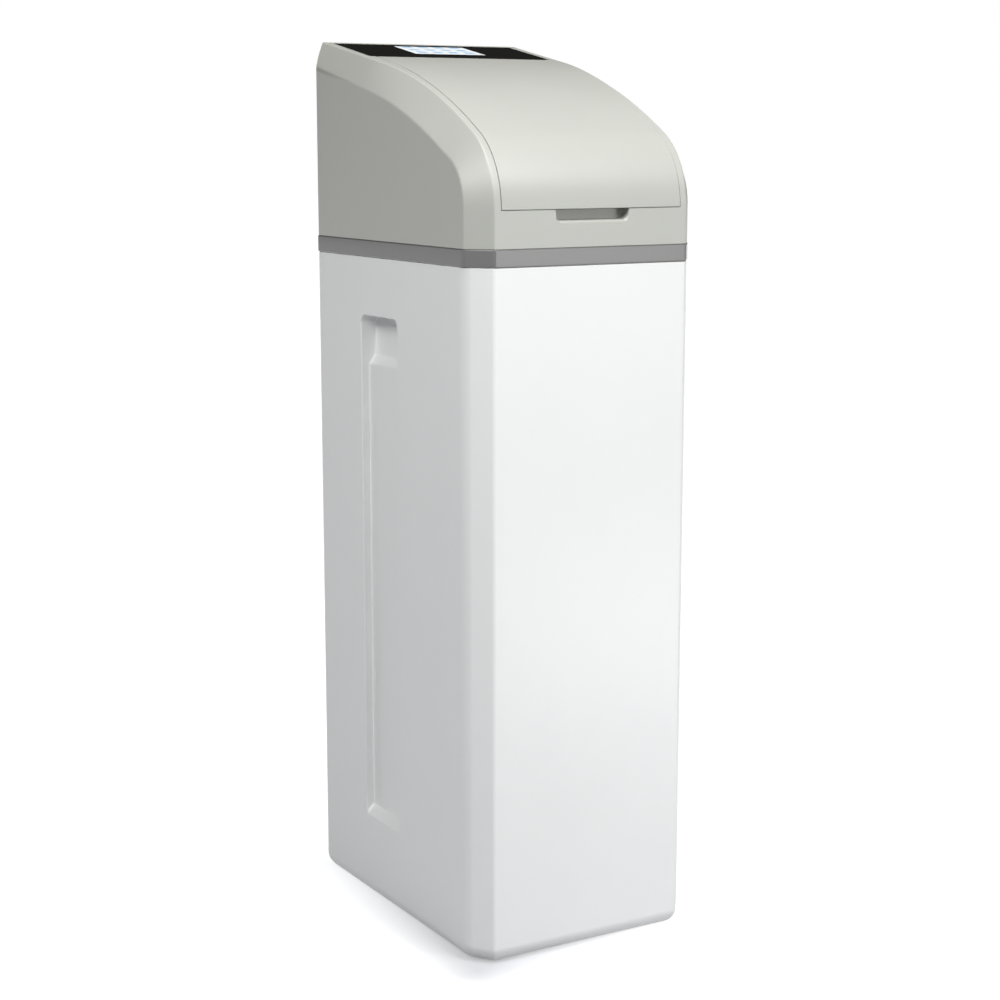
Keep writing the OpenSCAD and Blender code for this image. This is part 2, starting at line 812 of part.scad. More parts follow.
// Rubber grommet for the low-voltage lead
grommet_r = 7;
grommet_bore_r = 3.5;
grommet_lip = 2;
grommet_inset = 32;
grommet_rise = 60;
grommet_x = grommet_inset - side;
grommet_z = hood_z + grommet_rise;
module lead_grommet() {
    color("black") difference() {
        union() {
            bar_y(grommet_r, back - hood_wall, back, grommet_x, grommet_z);
            bar_y(grommet_r + grommet_lip, back, back + grommet_lip, grommet_x, grommet_z);
            bar_y(grommet_r + grommet_lip, back - hood_wall - grommet_lip, back - hood_wall,
                grommet_x, grommet_z);
        }
        bar_y(grommet_bore_r, back - far, back + far, grommet_x, grommet_z);
    }
}

// Half section of the vessel's closed form, inset by t
module vessel_section(t) {
    flat = vessel_r - dome_r;
    translate([0, vessel_z + dome_r]) square([vessel_r - t, dome_z - vessel_z - 2 * dome_r]);
    translate([0, vessel_z + t]) square([flat, dome_z - vessel_z - 2 * t]);
    intersection() {
        translate([0, vessel_z]) square([far, far]);
        for (z = [vessel_z + dome_r, dome_z - dome_r]) translate([flat, z]) circle(dome_r - t);
        square([far, far]);
    }
}

// Vessel form as a solid, inset by t
module vessel_form(t) {
    translate([0, vessel_y, 0]) rotate_extrude($fn = 128) vessel_section(t);
}

module pressure_vessel() {
    color("steelblue") difference() {
        union() {
            vessel_form(0);
            bar_z(neck_r, dome_z - neck_sink, neck_z, 0, vessel_y);
        }
        vessel_form(vessel_wall);
        bar_z(neck_bore_r, dome_z - 3 * vessel_wall, neck_z + over, 0, vessel_y);
    }
}

module vessel_base() {
    color("black") difference() {
        bar_z(base_r, cab_wall, cab_wall + base_h, 0, vessel_y);
        vessel_form(-slip);
    }
}

// Riser tube and the strainers at its two ends
riser_foot = vessel_z + vessel_wall + strainer_h;
module resin_bed() {
    color("goldenrod") difference() {
        intersection() {
            vessel_form(vessel_wall + slip);
            bar_z(vessel_r, 0, vessel_z + resin_h, 0, vessel_y);
        }
        bar_z(riser_r + slip, 0, far, 0, vessel_y);
        bar_z(strainer_r + slip, 0, riser_foot + slip, 0, vessel_y);
    }
}

module riser_tube() {
    color("ivory") difference() {
        bar_z(riser_r, riser_foot - strainer_h / 2, flange_z - riser_gap, 0, vessel_y);
        bar_z(riser_r - riser_wall, 0, far, 0, vessel_y);
    }
}

// Slotted basket around the riser, from z0 to z1, closed at one end
strainer_wall = 3;
strainer_floor = 4;
slot_inset = 6;
module strainer(z0, z1, floor_t) {
    slots = 12;
    slot_w = 1.2;
    wall = strainer_wall;
    difference() {
        bar_z(strainer_r, z0, z1, 0, vessel_y);
        bar_z(strainer_r - wall, z0 + floor_t, z1 - wall, 0, vessel_y);
        translate([0, vessel_y, 0]) for (i = [0 : slots - 1]) rotate([0, 0, i * 360 / slots])
            block(strainer_r - 2 * wall, strainer_r + over, -slot_w / 2, slot_w / 2,
                z0 + slot_inset, z1 - slot_inset);
        children();
    }
}

module bottom_strainer() {
    color("ivory") strainer(vessel_z + vessel_wall, riser_foot, strainer_floor)
        bar_z(riser_r, riser_foot - strainer_h / 2, far, 0, vessel_y);
}

module top_strainer() {
    top = neck_z - spigot_h;
    color("ivory") strainer(top - strainer_h, top, strainer_wall)
        bar_z(riser_r + slip, 0, far, 0, vessel_y);
}

module neck_seal() {
    color("black") difference() {
        bar_z(neck_r - seal_inset, neck_z, neck_z + seal_t, 0, vessel_y);
        bar_z(neck_bore_r + seal_inset, neck_z - over, neck_z + seal_t + over, 0, vessel_y);
    }
}

module valve_body() {
    spigot_r = neck_bore_r - slip;
    port_floor = 8;
    color("darkslategray") difference() {
        union() {
            bar_z(flange_r, neck_z + seal_t, flange_z, 0, vessel_y);
            bar_z(neck_bore_r, neck_z, neck_z + seal_t + over, 0, vessel_y);
            bar_z(spigot_r, neck_z - spigot_h, neck_z + over, 0, vessel_y);
            bar_z(valve_r, flange_z - over, valve_z, 0, vessel_y);
            for (s = [-1, 1]) bar_y(port_r, vessel_y, coupling_y, s * port_x, port_z);
            bar_x(boss_r, -boss_x, 0, vessel_y, boss_z);
            bar_x(boss_r, 0, boss_x, drain_y, boss_z);
            bar_x(brine_boss_r, 0, brine_boss_x, brine_y, boss_z);
        }
        bar_z(chamber_r, chamber_z, valve_z + over, 0, vessel_y);
        bar_z(riser_r + slip, 0, flange_z - riser_gap, 0, vessel_y);
        bar_z(riser_r - riser_wall, 0, chamber_z + over, 0, vessel_y);
        for (s = [-1, 1])
            bar_y(bore_r, vessel_y + riser_r + port_floor, coupling_y + over, s * port_x, port_z);
        bar_x(nozzle_bore_r, -boss_x - over, -chamber_r - boss_floor, vessel_y, boss_z);
        bar_x(drain_r, chamber_r + boss_floor, boss_x + over, drain_y, boss_z);
        bar_x(line_r, chamber_r + boss_floor, brine_boss_x + over, brine_y, boss_z);
        cap_bolt_places() bar_z(screw_r, valve_z - bolt_depth, valve_z + over, 0, 0);
    }
}

// Ring of cap screws
module cap_bolt_places() {
    translate([0, vessel_y, 0]) for (i = [0 : cap_bolts - 1]) rotate([0, 0, (i + 0.5) * 360 / cap_bolts])
        translate([cap_bolt_r, 0, 0]) children();
}

// Places of the bracket's pillars
module pillar_places() {
    translate([0, vessel_y, 0]) for (a = pillar_angles) rotate([0, 0, a])
        translate([pillar_at, 0, 0]) children();
}

module fixed_disc() {
    color("white") difference() {
        bar_z(chamber_r - slip, chamber_z, chamber_z + disc_t, 0, vessel_y);
        bar_z(riser_r - riser_wall, 0, far, 0, vessel_y);
        for (a = [30 : 60 : 330]) translate([0, vessel_y, 0]) rotate([0, 0, a])
            bar_z(disc_port_r, 0, far, disc_port_at, 0);
    }
}

module valve_rotor() {
    disc_z = chamber_z + disc_t + slip;
    disc_gap = 2;
    hub_t = 6;
    color("silver") difference() {
        union() {
            bar_z(chamber_r - disc_gap, disc_z, disc_z + disc_t, 0, vessel_y);
            bar_z(shaft_r + hub_t, disc_z, valve_z - slip, 0, vessel_y);
            bar_z(shaft_r, disc_z, gear_z + gear_h, 0, vessel_y);
            bar_z(journal_r, disc_z, bracket_z + bracket_t, 0, vessel_y);
        }
        translate([0, vessel_y, 0]) rotate([0, 0, 90])
            bar_z(disc_port_r + over, 0, disc_z + disc_t / 2, disc_port_at, 0);
    }
}

module valve_cap() {
    lip = 1;
    pad = 4;
    color("dimgray") difference() {
        union() {
            bar_z(valve_r + lip, valve_z, cap_z, 0, vessel_y);
            pillar_places() bar_z(pillar_r + pad, valve_z, cap_z, 0, 0);
        }
        bar_z(shaft_r + run_clear, valve_z - over, cap_z + over, 0, vessel_y);
        bar_z(shaft_r + shaft_seal_w, cap_z - shaft_seal_h, cap_z + over, 0, vessel_y);
        cap_bolt_places() {
            bar_z(screw_r + slip, valve_z - over, cap_z + over, 0, 0);
            bar_z(screw_head_r + slip, cap_z - screw_head_h, cap_z + over, 0, 0);
        }
        pillar_places() bar_z(screw_r, valve_z + pillar_screw_floor, cap_z + over, 0, 0);
    }
}

module cap_screws() {
    color("silver") cap_bolt_places() {
        bar_z(screw_r, valve_z - bolt_depth, cap_z - screw_head_h, 0, 0);
        bar_z(screw_head_r, cap_z - screw_head_h, cap_z, 0, 0);
    }
}

module shaft_seal() {
    color("black") difference() {
        bar_z(shaft_r + shaft_seal_w, cap_z - shaft_seal_h, cap_z, 0, vessel_y);
        bar_z(shaft_r + run_clear, cap_z - shaft_seal_h - over, cap_z + over, 0, vessel_y);
    }
}

// Spur gear outline with straight flanks and running backlash, in shares of the module and of the tooth pitch
tooth_up = 0.9;
tooth_down = 1.25;
tooth_half = 0.19;
flank_slope = 0.36;
root_grow = 0.3;
root_share = 0.4;
module gear_outline(teeth, turn) {
    pitch_r = teeth * gear_module / 2;
    half = tooth_half * PI * gear_module;
    tip = pitch_r + tooth_up * gear_module;
    root = pitch_r - tooth_down * gear_module;
    tip_half = half - tooth_up * gear_module * flank_slope;
    root_half = min(half + root_grow * gear_module, root_share * 2 * PI * root / teeth);
    polygon([for (i = [0 : teeth - 1], p = [[root, -root_half], [pitch_r, -half], [tip, -tip_half],
        [tip, tip_half], [pitch_r, half], [root, root_half]])
        let (a = turn + i * 360 / teeth + p[1] / p[0] * 180 / PI) [p[0] * cos(a), p[0] * sin(a)]]);
}

module drive_gear() {
    color("ivory") translate([0, vessel_y, gear_z]) linear_extrude(gear_h) difference() {
        gear_outline(gear_teeth, 0);
        circle(shaft_r);
    }
}

module motor_pinion() {
    color("gold") translate([motor_at, vessel_y, 0]) {
        translate([0, 0, gear_z]) linear_extrude(gear_h) difference() {
            gear_outline(pinion_teeth, 180 + 180 / pinion_teeth);
            circle(motor_shaft_r);
        }
        bar_z(motor_shaft_r, gear_z, bracket_z + bracket_t + motor_shaft_in, 0, 0);
    }
}

module motor_bracket() {
    lip = 2;
    pad = 3;
    shaft_gap = 1;
    top = bracket_z + bracket_t;
    color("dimgray") difference() {
        union() {
            bar_z(pillar_at + pillar_r + lip, bracket_z, top, 0, vessel_y);
            bar_z(motor_r + pad, bracket_z, top, motor_at, vessel_y);
            pillar_places() bar_z(pillar_r, cap_z, bracket_z + over, 0, 0);
        }
        bar_z(journal_r + run_clear, bracket_z - over, top + over, 0, vessel_y);
        bar_z(motor_shaft_r + shaft_gap, bracket_z - over, top + over, motor_at, vessel_y);
        pillar_places() bar_z(screw_r + slip, cap_z - over, top + over, 0, 0);
    }
}

module bracket_screws() {
    top = bracket_z + bracket_t;
    color("silver") pillar_places() {
        bar_z(screw_r, valve_z + pillar_screw_floor, top, 0, 0);
        bar_z(screw_head_r, top, top + screw_head_h, 0, 0);
    }
}

module drive_motor() {
    low = bracket_z + bracket_t;
    color("silver") difference() {
        bar_z(motor_r, low, low + motor_h, motor_at, vessel_y);
        bar_z(motor_shaft_r + run_clear, low - over, low + motor_shaft_in + over, motor_at, vessel_y);
    }
}

// Lead from the motor's rear side up to the electronics housing
lead_r = 2.5;
lead_bend = 10;
lead_seat = 0.1;
module motor_lead() {
    y0 = vessel_y + motor_r + lead_seat;
    y1 = round(on_top(panel_mid - housing_len / 4, seat_in + housing_depth)[0]);
    low = bracket_z + bracket_t + motor_h / 2;
    high = brow_end[1] + (y1 - lead_r - brow_end[0]) * tan(panel_slope)
        - (seat_in + housing_depth) / cos(panel_slope) - lead_seat;
    color("black") union() {
        bar_y(lead_r, y0, y1 - lead_bend, motor_at, low);
        translate([motor_at, y1 - lead_bend, low + lead_bend]) rotate([0, 90, 0]) elbow(lead_bend, lead_r);
        bar_z(lead_r, low + lead_bend, high, motor_at, y1);
    }
}

// Injector in the valve's left boss
nozzle_bore_r = 8;
nozzle_jet_r = 2;
injector_plug = 5;
module injector_nozzle() {
    start = injector_plug + over - boss_x;
    color("crimson") difference() {
        bar_x(nozzle_bore_r - slip, start, -chamber_r - boss_floor - over, vessel_y, boss_z);
        bar_x(nozzle_jet_r, -boss_x, 0, vessel_y, boss_z);
    }
}

module injector_cap() {
    lip = 1;
    head = 7;
    color("dimgray") union() {
        bar_x(boss_r + lip, -boss_x - head, -boss_x, vessel_y, boss_z);
        bar_x(nozzle_bore_r - slip, -boss_x - over, injector_plug - boss_x, vessel_y, boss_z);
    }
}

// Drain elbow: out of the right boss and straight to the rear
drain_elbow_in = 5;
drain_x = boss_x + drain_r + drain_elbow_in;
module drain_elbow() {
    wall = 2.5;
    barb = 1;
    barb_len = 26;
    barb_w = 4;
    shoulder = drain_end - barb_len;
    color("dimgray") difference() {
        union() {
            bar_x(drain_r + wall, boss_x, drain_x, drain_y, boss_z);
            translate([drain_x, drain_y, boss_z]) sphere(drain_r + wall);
            bar_y(drain_r + wall, drain_y, shoulder, drain_x, boss_z);
            bar_y(drain_r, drain_y, drain_end, drain_x, boss_z);
            bar_y(drain_r + barb, shoulder, shoulder + barb_w, drain_x, boss_z);
        }
        bar_y(drain_r - wall, drain_y, drain_end + over, drain_x, boss_z);
        bar_x(drain_r - wall, boss_x - over, drain_x, drain_y, boss_z);
    }
}

module brine_elbow() {
    lip = 1;
    wall = 2;
    end = brine_boss_x + brine_elbow_len;
    color("dimgray") difference() {
        union() {
            bar_x(brine_boss_r - lip, brine_boss_x, end, brine_y, boss_z);
            bar_x(line_r - slip, brine_boss_x - brine_elbow_in, brine_boss_x + over, brine_y, boss_z);
        }
        bar_x(line_r, end - line_in, end + over, brine_y, boss_z);
        bar_x(line_r - wall, brine_boss_x - brine_elbow_in - over, end - line_in + over, brine_y, boss_z);
    }
}

// Water meter in the outlet pipe
meter_in = 26;
meter_len = 20;
meter_hub_r = 4;
spider_t = 3;
axle_r = 1.5;
meter_y = coupling_y - meter_in;
module meter_spider(y) {
    arm = 2.4;
    rim = 1.6;
    difference() {
        union() {
            difference() {
                bar_y(bore_r - run_clear, y, y + spider_t, port_x, port_z);
                bar_y(bore_r - rim, y - over, y + spider_t + over, port_x, port_z);
            }
            bar_y(meter_hub_r, y, y + spider_t, port_x, port_z);
            translate([port_x, y, port_z]) for (a = [0, 120, 240]) rotate([0, a, 0])
                block(0, bore_r - rim / 2, 0, spider_t, -arm / 2, arm / 2);
        }
        bar_y(axle_r + run_clear, y - over, y + spider_t + over, port_x, port_z);
    }
}

module meter_cage() {
    color("white") for (y = [meter_y, meter_y + meter_len - spider_t]) meter_spider(y);
}

module meter_turbine() {
    blades = 6;
    pitch = 30;
    tip_gap = 1.5;
    chord = 9;
    thick = 1.6;
    hub = [meter_y + spider_t + slip, meter_y + meter_len - spider_t - slip];
    color("royalblue") union() {
        bar_y(axle_r, meter_y, meter_y + meter_len, port_x, port_z);
        bar_y(meter_hub_r, hub[0], hub[1], port_x, port_z);
        translate([port_x, meter_y + meter_len / 2, port_z])
            for (i = [0 : blades - 1]) rotate([0, i * 360 / blades, 0]) rotate([pitch, 0, 0])
                block(meter_hub_r / 2, bore_r - tip_gap, -chord / 2, chord / 2, -thick / 2, thick / 2);
    }
}

stem_in = 4;
module bypass_body() {
    cross_r = 15;
    cross_bore_r = 9;
    z0 = port_z - bypass_half_h;
    z1 = port_z + bypass_half_h;
    color("dimgray") difference() {
        union() {
            for (s = [-1, 1]) {
                bar_y(barrel_pipe_r, coupling_y, bypass_end - thread_len, s * port_x, port_z);
                bar_y(thread_r, coupling_y, bypass_end, s * port_x, port_z);
                bar_z(bypass_r, z0, z1, s * port_x, bypass_y);
            }
            bar_x(cross_r, -port_x, port_x, bypass_y, port_z);
        }
        for (s = [-1, 1]) {
            bar_y(bore_r, coupling_y - over, bypass_end + over, s * port_x, port_z);
            bar_z(plug_bore_r, z0 - over, z1 - bypass_wall, s * port_x, bypass_y);
            bar_z(stem_r + run_clear, z1 - bypass_wall - over, z1 + over, s * port_x, bypass_y);
        }
        bar_x(cross_bore_r, -port_x, port_x, bypass_y, port_z);
    }
}

module bypass_caps() {
    z0 = port_z - bypass_half_h;
    inset = 1;
    head = 3;
    color("black") for (s = [-1, 1]) {
        bar_z(bypass_r - inset, z0 - head, z0, s * port_x, bypass_y);
        bar_z(plug_bore_r - slip, z0 - over, z0 + bypass_wall, s * port_x, bypass_y);
    }
}

// Turning plug of one bypass valve with its stem
module bypass_plug(x) {
    z0 = port_z - bypass_half_h + bypass_wall + slip;
    z1 = port_z + bypass_half_h;
    difference() {
        union() {
            bar_z(plug_bore_r - run_clear, z0, z1 - bypass_wall - slip, x, bypass_y);
            bar_z(stem_r, z0, z1 + knob_h - stem_in, x, bypass_y);
        }
        bar_y(bore_r, bypass_y - far, bypass_y + far, x, port_z);
    }
}

module inlet_plug() { color("silver") bypass_plug(-port_x); }
module outlet_plug() { color("silver") bypass_plug(port_x); }

// Bar knob on a bypass stem
module bypass_knob(x) {
    z0 = port_z + bypass_half_h + 2 * slip;
    grip = 10;
    hub_t = 6;
    difference() {
        union() {
            bar_z(stem_r + hub_t, z0, z0 + knob_h / 2, x, bypass_y);
            block(x - grip / 2, x + grip / 2, bypass_y - knob_len / 2 + grip / 2,
                bypass_y + knob_len / 2 - grip / 2, z0, z0 + knob_h);
            for (s = [-1, 1]) bar_z(grip / 2, z0, z0 + knob_h, x, bypass_y + s * (knob_len - grip) / 2);
        }
        bar_z(stem_r, z0 - over, port_z + bypass_half_h + knob_h - stem_in, x, bypass_y);
    }
}

module inlet_knob() { color("royalblue") bypass_knob(-port_x); }
module outlet_knob() { color("firebrick") bypass_knob(port_x); }

module coupling_nuts() {
    ribs = 16;
    rib_h = 1.2;
    rib_w = 3;
    y0 = coupling_y - nut_len / 2;
    y1 = coupling_y + nut_len / 2;
    color("black") for (s = [-1, 1]) difference() {
        union() {
            bar_y(nut_r - rib_h, y0, y1, s * port_x, port_z);
            translate([s * port_x, 0, port_z]) for (i = [0 : ribs - 1]) rotate([0, i * 360 / ribs, 0])
                block(nut_r - rib_w, nut_r, y0, y1, -rib_w / 2, rib_w / 2);
        }
        bar_y(port_r + slip, coupling_y - nut_len, coupling_y, s * port_x, port_z);
        bar_y(barrel_pipe_r + slip, coupling_y - over, coupling_y + nut_len, s * port_x, port_z);
    }
}

// Brine line: from the valve to the right, forward beside the mouth, and down into the well
module brine_line() {
    start_x = brine_boss_x + brine_elbow_len - line_in;
    low = brine_valve_z + brine_valve_h - line_in;
    color("whitesmoke") union() {
        bar_x(line_r, start_x, line_x - line_bend, brine_y, boss_z);
        translate([line_x - line_bend, brine_y - line_bend, boss_z]) elbow(line_bend, line_r);
        bar_y(line_r, well_y + line_bend, brine_y - line_bend, line_x, boss_z);
        translate([line_x, well_y + line_bend, boss_z - line_bend]) rotate([0, -90, 180])
            elbow(line_bend, line_r);
        bar_z(line_r, low, boss_z - line_bend, line_x, well_y);
    }
}

module brine_well() {
    slots = 6;
    slot_w = 4;
    slot_lift = 20;
    slot_h = 50;
    slot_low = cab_wall + slot_lift;
    color("white") difference() {
        bar_z(well_r, cab_wall, well_top, well_x, well_y);
        bar_z(well_r - well_wall, cab_wall - over, well_top + over, well_x, well_y);
        translate([well_x, well_y, 0]) for (i = [0 : slots - 1]) rotate([0, 0, i * 360 / slots])
            block(well_r - 2 * well_wall, well_r + over, -slot_w / 2, slot_w / 2, slot_low, slot_low + slot_h);
        bar_x(stud_r + slip, well_x - well_r - over, well_x, well_y, brine_valve_z + brine_valve_h / 2);
    }
}

module well_cap() {
    skirt = 10;
    skirt_t = 2;
    lip = 4;
    thick = 3;
    hole_gap = 1;
    color("white") difference() {
        union() {
            bar_z(well_r + lip, well_top, well_top + thick, well_x, well_y);
            bar_z(well_r + slip + skirt_t, well_top - skirt, well_top + over, well_x, well_y);
        }
        bar_z(well_r + slip, well_top - skirt - over, well_top, well_x, well_y);
        bar_z(line_r + hole_gap, well_top - over, well_top + thick + over, line_x, well_y);
    }
}

// Brine safety valve hung from the well's wall by a threaded stud
stud_r = 6;
pipe_in = 10;
module brine_valve() {
    shift = 2;
    socket_h = 12;
    socket_wall = 3;
    stud_out = 9;
    guide_end = 4;
    guide_half = 5;
    z1 = brine_valve_z + brine_valve_h;
    mid = brine_valve_z + brine_valve_h / 2;
    guide_z1 = rod_guide_z + rod_guide_t;
    color("dimgray") difference() {
        union() {
            bar_z(brine_valve_r, brine_valve_z, z1 - socket_h, well_x - shift, well_y);
            bar_z(line_r + socket_wall, z1 - socket_h - shift, z1, line_x, well_y);
            bar_x(stud_r, well_x - well_r - stud_out, well_x, well_y, mid);
            block(well_x, rod_x + guide_end, well_y - guide_half, well_y + guide_half, rod_guide_z, guide_z1);
        }
        bar_z(line_r, z1 - line_in, z1 + over, line_x, well_y);
        bar_z(rod_r + run_clear, rod_guide_z - over, guide_z1 + over, rod_x, well_y);
        bar_z(pipe_r, brine_valve_z - over, brine_valve_z + pipe_in, pipe_x, well_y);
    }
}

module well_nut() {
    thick = 6;
    grow = 5;
    x0 = well_x - well_r - slip - thick;
    color("black") difference() {
        translate([x0, well_y, brine_valve_z + brine_valve_h / 2]) rotate([0, 90, 0])
            cylinder(r = stud_r + grow, h = thick, $fn = 6);
        bar_x(stud_r, well_x - 2 * well_r, well_x, well_y, brine_valve_z + brine_valve_h / 2);
    }
}

pipe_r = 5;
pipe_wall = 1.5;
check_h = 90;
check_lift = 12;
check_z = cab_wall + check_lift;
module pickup_pipe() {
    color("ivory") difference() {
        bar_z(pipe_r, check_z + check_h - pipe_in, brine_valve_z + pipe_in, pipe_x, well_y);
        bar_z(pipe_r - pipe_wall, 0, far, pipe_x, well_y);
    }
}

module air_check() {
    body_r = 11;
    foot_r = 14;
    wall = 3;
    floor_t = 4;
    slot_w = 2;
    slot_low = check_z - check_lift / 2;
    slot_high = check_z + floor_t + over;
    color("ivory") difference() {
        union() {
            bar_z(body_r, check_z, check_z + check_h, pipe_x, well_y);
            bar_z(foot_r, cab_wall, check_z + pipe_in, pipe_x, well_y);
        }
        bar_z(body_r - wall, check_z + floor_t, check_z + check_h - pipe_in - floor_t, pipe_x, well_y);
        bar_z(pipe_r, check_z + check_h - pipe_in, far, pipe_x, well_y);
        for (a = [0 : 60 : 300]) translate([pipe_x, well_y, 0]) rotate([0, 0, a])
            block(pipe_r, foot_r + over, -slot_w / 2, slot_w / 2, slot_low, slot_high);
    }
}

module float_rod() {
    stop = rod_guide_z + rod_guide_t + slip;
    stop_h = 4;
    stop_t = 3;
    tail = 10;
    color("silver") union() {
        bar_z(rod_r, float_z - tail, stop + stop_h, rod_x, well_y);
        bar_z(rod_r + stop_t, stop, stop + stop_h, rod_x, well_y);
    }
}

module brine_float() {
    sleeve_t = 4;
    sleeve_out = 5;
    color("orange") difference() {
        union() {
            bar_z(float_r, float_z, float_z + float_h, rod_x, well_y);
            bar_z(rod_r + sleeve_t, float_z - sleeve_out, float_z + float_h + sleeve_out, rod_x, well_y);
        }
        bar_z(rod_r, 0, far, rod_x, well_y);
    }
}

// Grid that keeps the salt above the brine
module salt_grid() {
    wall_gap = 3;
    vessel_clear = 5;
    well_clear = 2;
    hole_inset = 25;
    side_inset = 15;
    reach = 60;
    leg_r = 8;
    leg_gap = 20;
    leg_in = foot_r + leg_gap;
    vessel_front = vessel_y - vessel_r;
    inset = cab_wall + wall_gap;
    z0 = cab_wall + grid_lift;
    z1 = z0 + grid_t;
    cols = floor((cab_w - 2 * (inset + side_inset)) / grid_pitch);
    rows = floor((vessel_front - front - hole_inset - side_inset) / grid_pitch);
    y_end = vessel_front + reach;
    color("white") difference() {
        union() {
            translate([0, 0, z0]) linear_extrude(grid_t) intersection() {
                plan(inset);
                translate([-side, front]) square([cab_w, y_end - front]);
            }
            for (x = [leg_in - side, 0], y = [front + leg_in, vessel_front - hole_inset])
                bar_z(leg_r, cab_wall, z0 + over, x, y);
            bar_z(leg_r, cab_wall, z0 + over, side - leg_in, vessel_front - vessel_clear);
        }
        bar_z(vessel_r + vessel_clear, 0, far, 0, vessel_y);
        bar_z(well_r + well_clear, 0, far, well_x, well_y);
        for (i = [0 : cols], j = [0 : rows])
            bar_z(grid_hole_r, z0 - over, z1 + over, (i - cols / 2) * grid_pitch,
                front + hole_inset + j * grid_pitch);
    }
}

// Overflow fitting through the rear wall, with its spigot pointing down
overflow_out = 30;
overflow_flange_w = 6;
overflow_flange_r = overflow_r + overflow_flange_w;
overflow_flange_t = 4;
overflow_gasket_t = 2;
overflow_nut_t = 10;
overflow_spigot = 26;
module overflow_elbow() {
    grow = 1.5;
    wall = 2;
    bend = 15;
    tail = 6;
    body_r = overflow_r + grow;
    bore = overflow_r - wall;
    inner = back - cab_wall - overflow_nut_t - tail;
    y0 = back + overflow_gasket_t;
    y1 = back + overflow_out;
    z1 = overflow_z - bend;
    z0 = z1 - overflow_spigot;
    color("dimgray") difference() {
        union() {
            bar_y(overflow_r, inner, y0 + over, overflow_x, overflow_z);
            bar_y(overflow_flange_r, y0, y0 + overflow_flange_t, overflow_x, overflow_z);
            bar_y(body_r, y0, y1 - bend, overflow_x, overflow_z);
            translate([overflow_x, y1 - bend, z1]) rotate([90, 0, 90]) elbow(bend, body_r);
            bar_z(overflow_r, z0, z1, overflow_x, y1);
        }
        bar_y(bore, inner - over, y1 - bend, overflow_x, overflow_z);
        translate([overflow_x, y1 - bend, z1]) rotate([90, 0, 90]) elbow(bend, bore);
        bar_z(bore, z0 - over, z1, overflow_x, y1);
    }
}

module overflow_nut() {
    grow = 8;
    color("black") difference() {
        translate([overflow_x, back - cab_wall - overflow_nut_t, overflow_z]) rotate([-90, 0, 0])
            cylinder(r = overflow_r + grow, h = overflow_nut_t, $fn = 6);
        bar_y(overflow_r, back - far, back + far, overflow_x, overflow_z);
    }
}

module overflow_gasket() {
    color("black") difference() {
        bar_y(overflow_flange_r, back, back + overflow_gasket_t, overflow_x, overflow_z);
        bar_y(overflow_r, back - over, back + overflow_gasket_t + over, overflow_x, overflow_z);
    }
}

cabinet();
collar_band();
hood();
salt_lid();
hinge_pins();
lid_bumpers();
panel_glass();
lcd_module();
control_board();
display_housing();
display_screws();
hood_screws();
lead_grommet();
pressure_vessel();
vessel_base();
resin_bed();
riser_tube();
bottom_strainer();
top_strainer();
neck_seal();
valve_body();
fixed_disc();
valve_rotor();
valve_cap();
cap_screws();
shaft_seal();
drive_gear();
motor_bracket();
bracket_screws();
drive_motor();
motor_pinion();
motor_lead();
injector_nozzle();
injector_cap();
drain_elbow();
brine_elbow();
meter_cage();
meter_turbine();
bypass_body();
bypass_caps();
inlet_plug();
outlet_plug();
inlet_knob();
outlet_knob();
coupling_nuts();
brine_line();
brine_well();
well_cap();
brine_valve();
well_nut();
pickup_pipe();
air_check();
float_rod();
brine_float();
salt_grid();
overflow_elbow();
overflow_nut();
overflow_gasket();
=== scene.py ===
"""Looks of a cabinet water softener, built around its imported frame.

The visible mouldings are modelled here over the frame's solids: the cabinet, the band, the hood,
the salt lid and the display panel. The inner pieces keep the frame's own shapes and get a finish
each. Lengths are in metres.
"""

import json
import math

import bmesh
import bpy
from mathutils import Matrix, Vector


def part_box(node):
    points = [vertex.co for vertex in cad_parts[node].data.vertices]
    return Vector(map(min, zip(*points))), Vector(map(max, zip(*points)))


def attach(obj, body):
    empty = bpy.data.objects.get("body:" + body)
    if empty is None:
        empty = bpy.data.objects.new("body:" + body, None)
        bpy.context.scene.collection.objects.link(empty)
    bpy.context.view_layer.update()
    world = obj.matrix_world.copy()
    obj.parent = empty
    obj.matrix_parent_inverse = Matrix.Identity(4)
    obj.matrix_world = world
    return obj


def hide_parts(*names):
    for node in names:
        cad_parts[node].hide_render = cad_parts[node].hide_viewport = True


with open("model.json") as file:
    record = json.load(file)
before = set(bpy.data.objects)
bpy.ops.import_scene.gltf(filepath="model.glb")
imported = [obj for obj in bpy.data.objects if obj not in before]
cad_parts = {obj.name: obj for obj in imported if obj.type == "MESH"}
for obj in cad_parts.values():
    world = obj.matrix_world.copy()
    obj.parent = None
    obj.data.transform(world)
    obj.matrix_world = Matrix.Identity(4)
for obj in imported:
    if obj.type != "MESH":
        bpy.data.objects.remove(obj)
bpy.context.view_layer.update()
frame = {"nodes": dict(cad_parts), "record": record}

bl_info = {
    "name": "Cabinet water softener",
    "version": (1, 0, 0),
    "blender": (4, 5, 0),
    "location": "View3D > Sidebar > Softener",
    "description": "Builds the looks of a cabinet water softener around its packed frame",
    "category": "Object",
}

MM = 0.001
TINY = 1e-5

# Places that the frame gives
CABINET_LOW, CABINET_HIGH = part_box("cabinet")
HALF = CABINET_HIGH.x
FRONT = CABINET_LOW.y
BACK = CABINET_HIGH.y
RIM = CABINET_HIGH.z
HOOD_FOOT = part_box("hood")[0].z

# Turns in degrees, past which the edges of these places are rounded
FOOT_TURN = 2
GRIP_TURN = 25
RECESS_TURN = 40
REAR_TURN = 55
SQUARE_TURN = 60

# How far a corner of the front bevel moves along the front and the side, for a step outwards
FRONT_MITRE = 0.5
SIDE_MITRE = 0.35

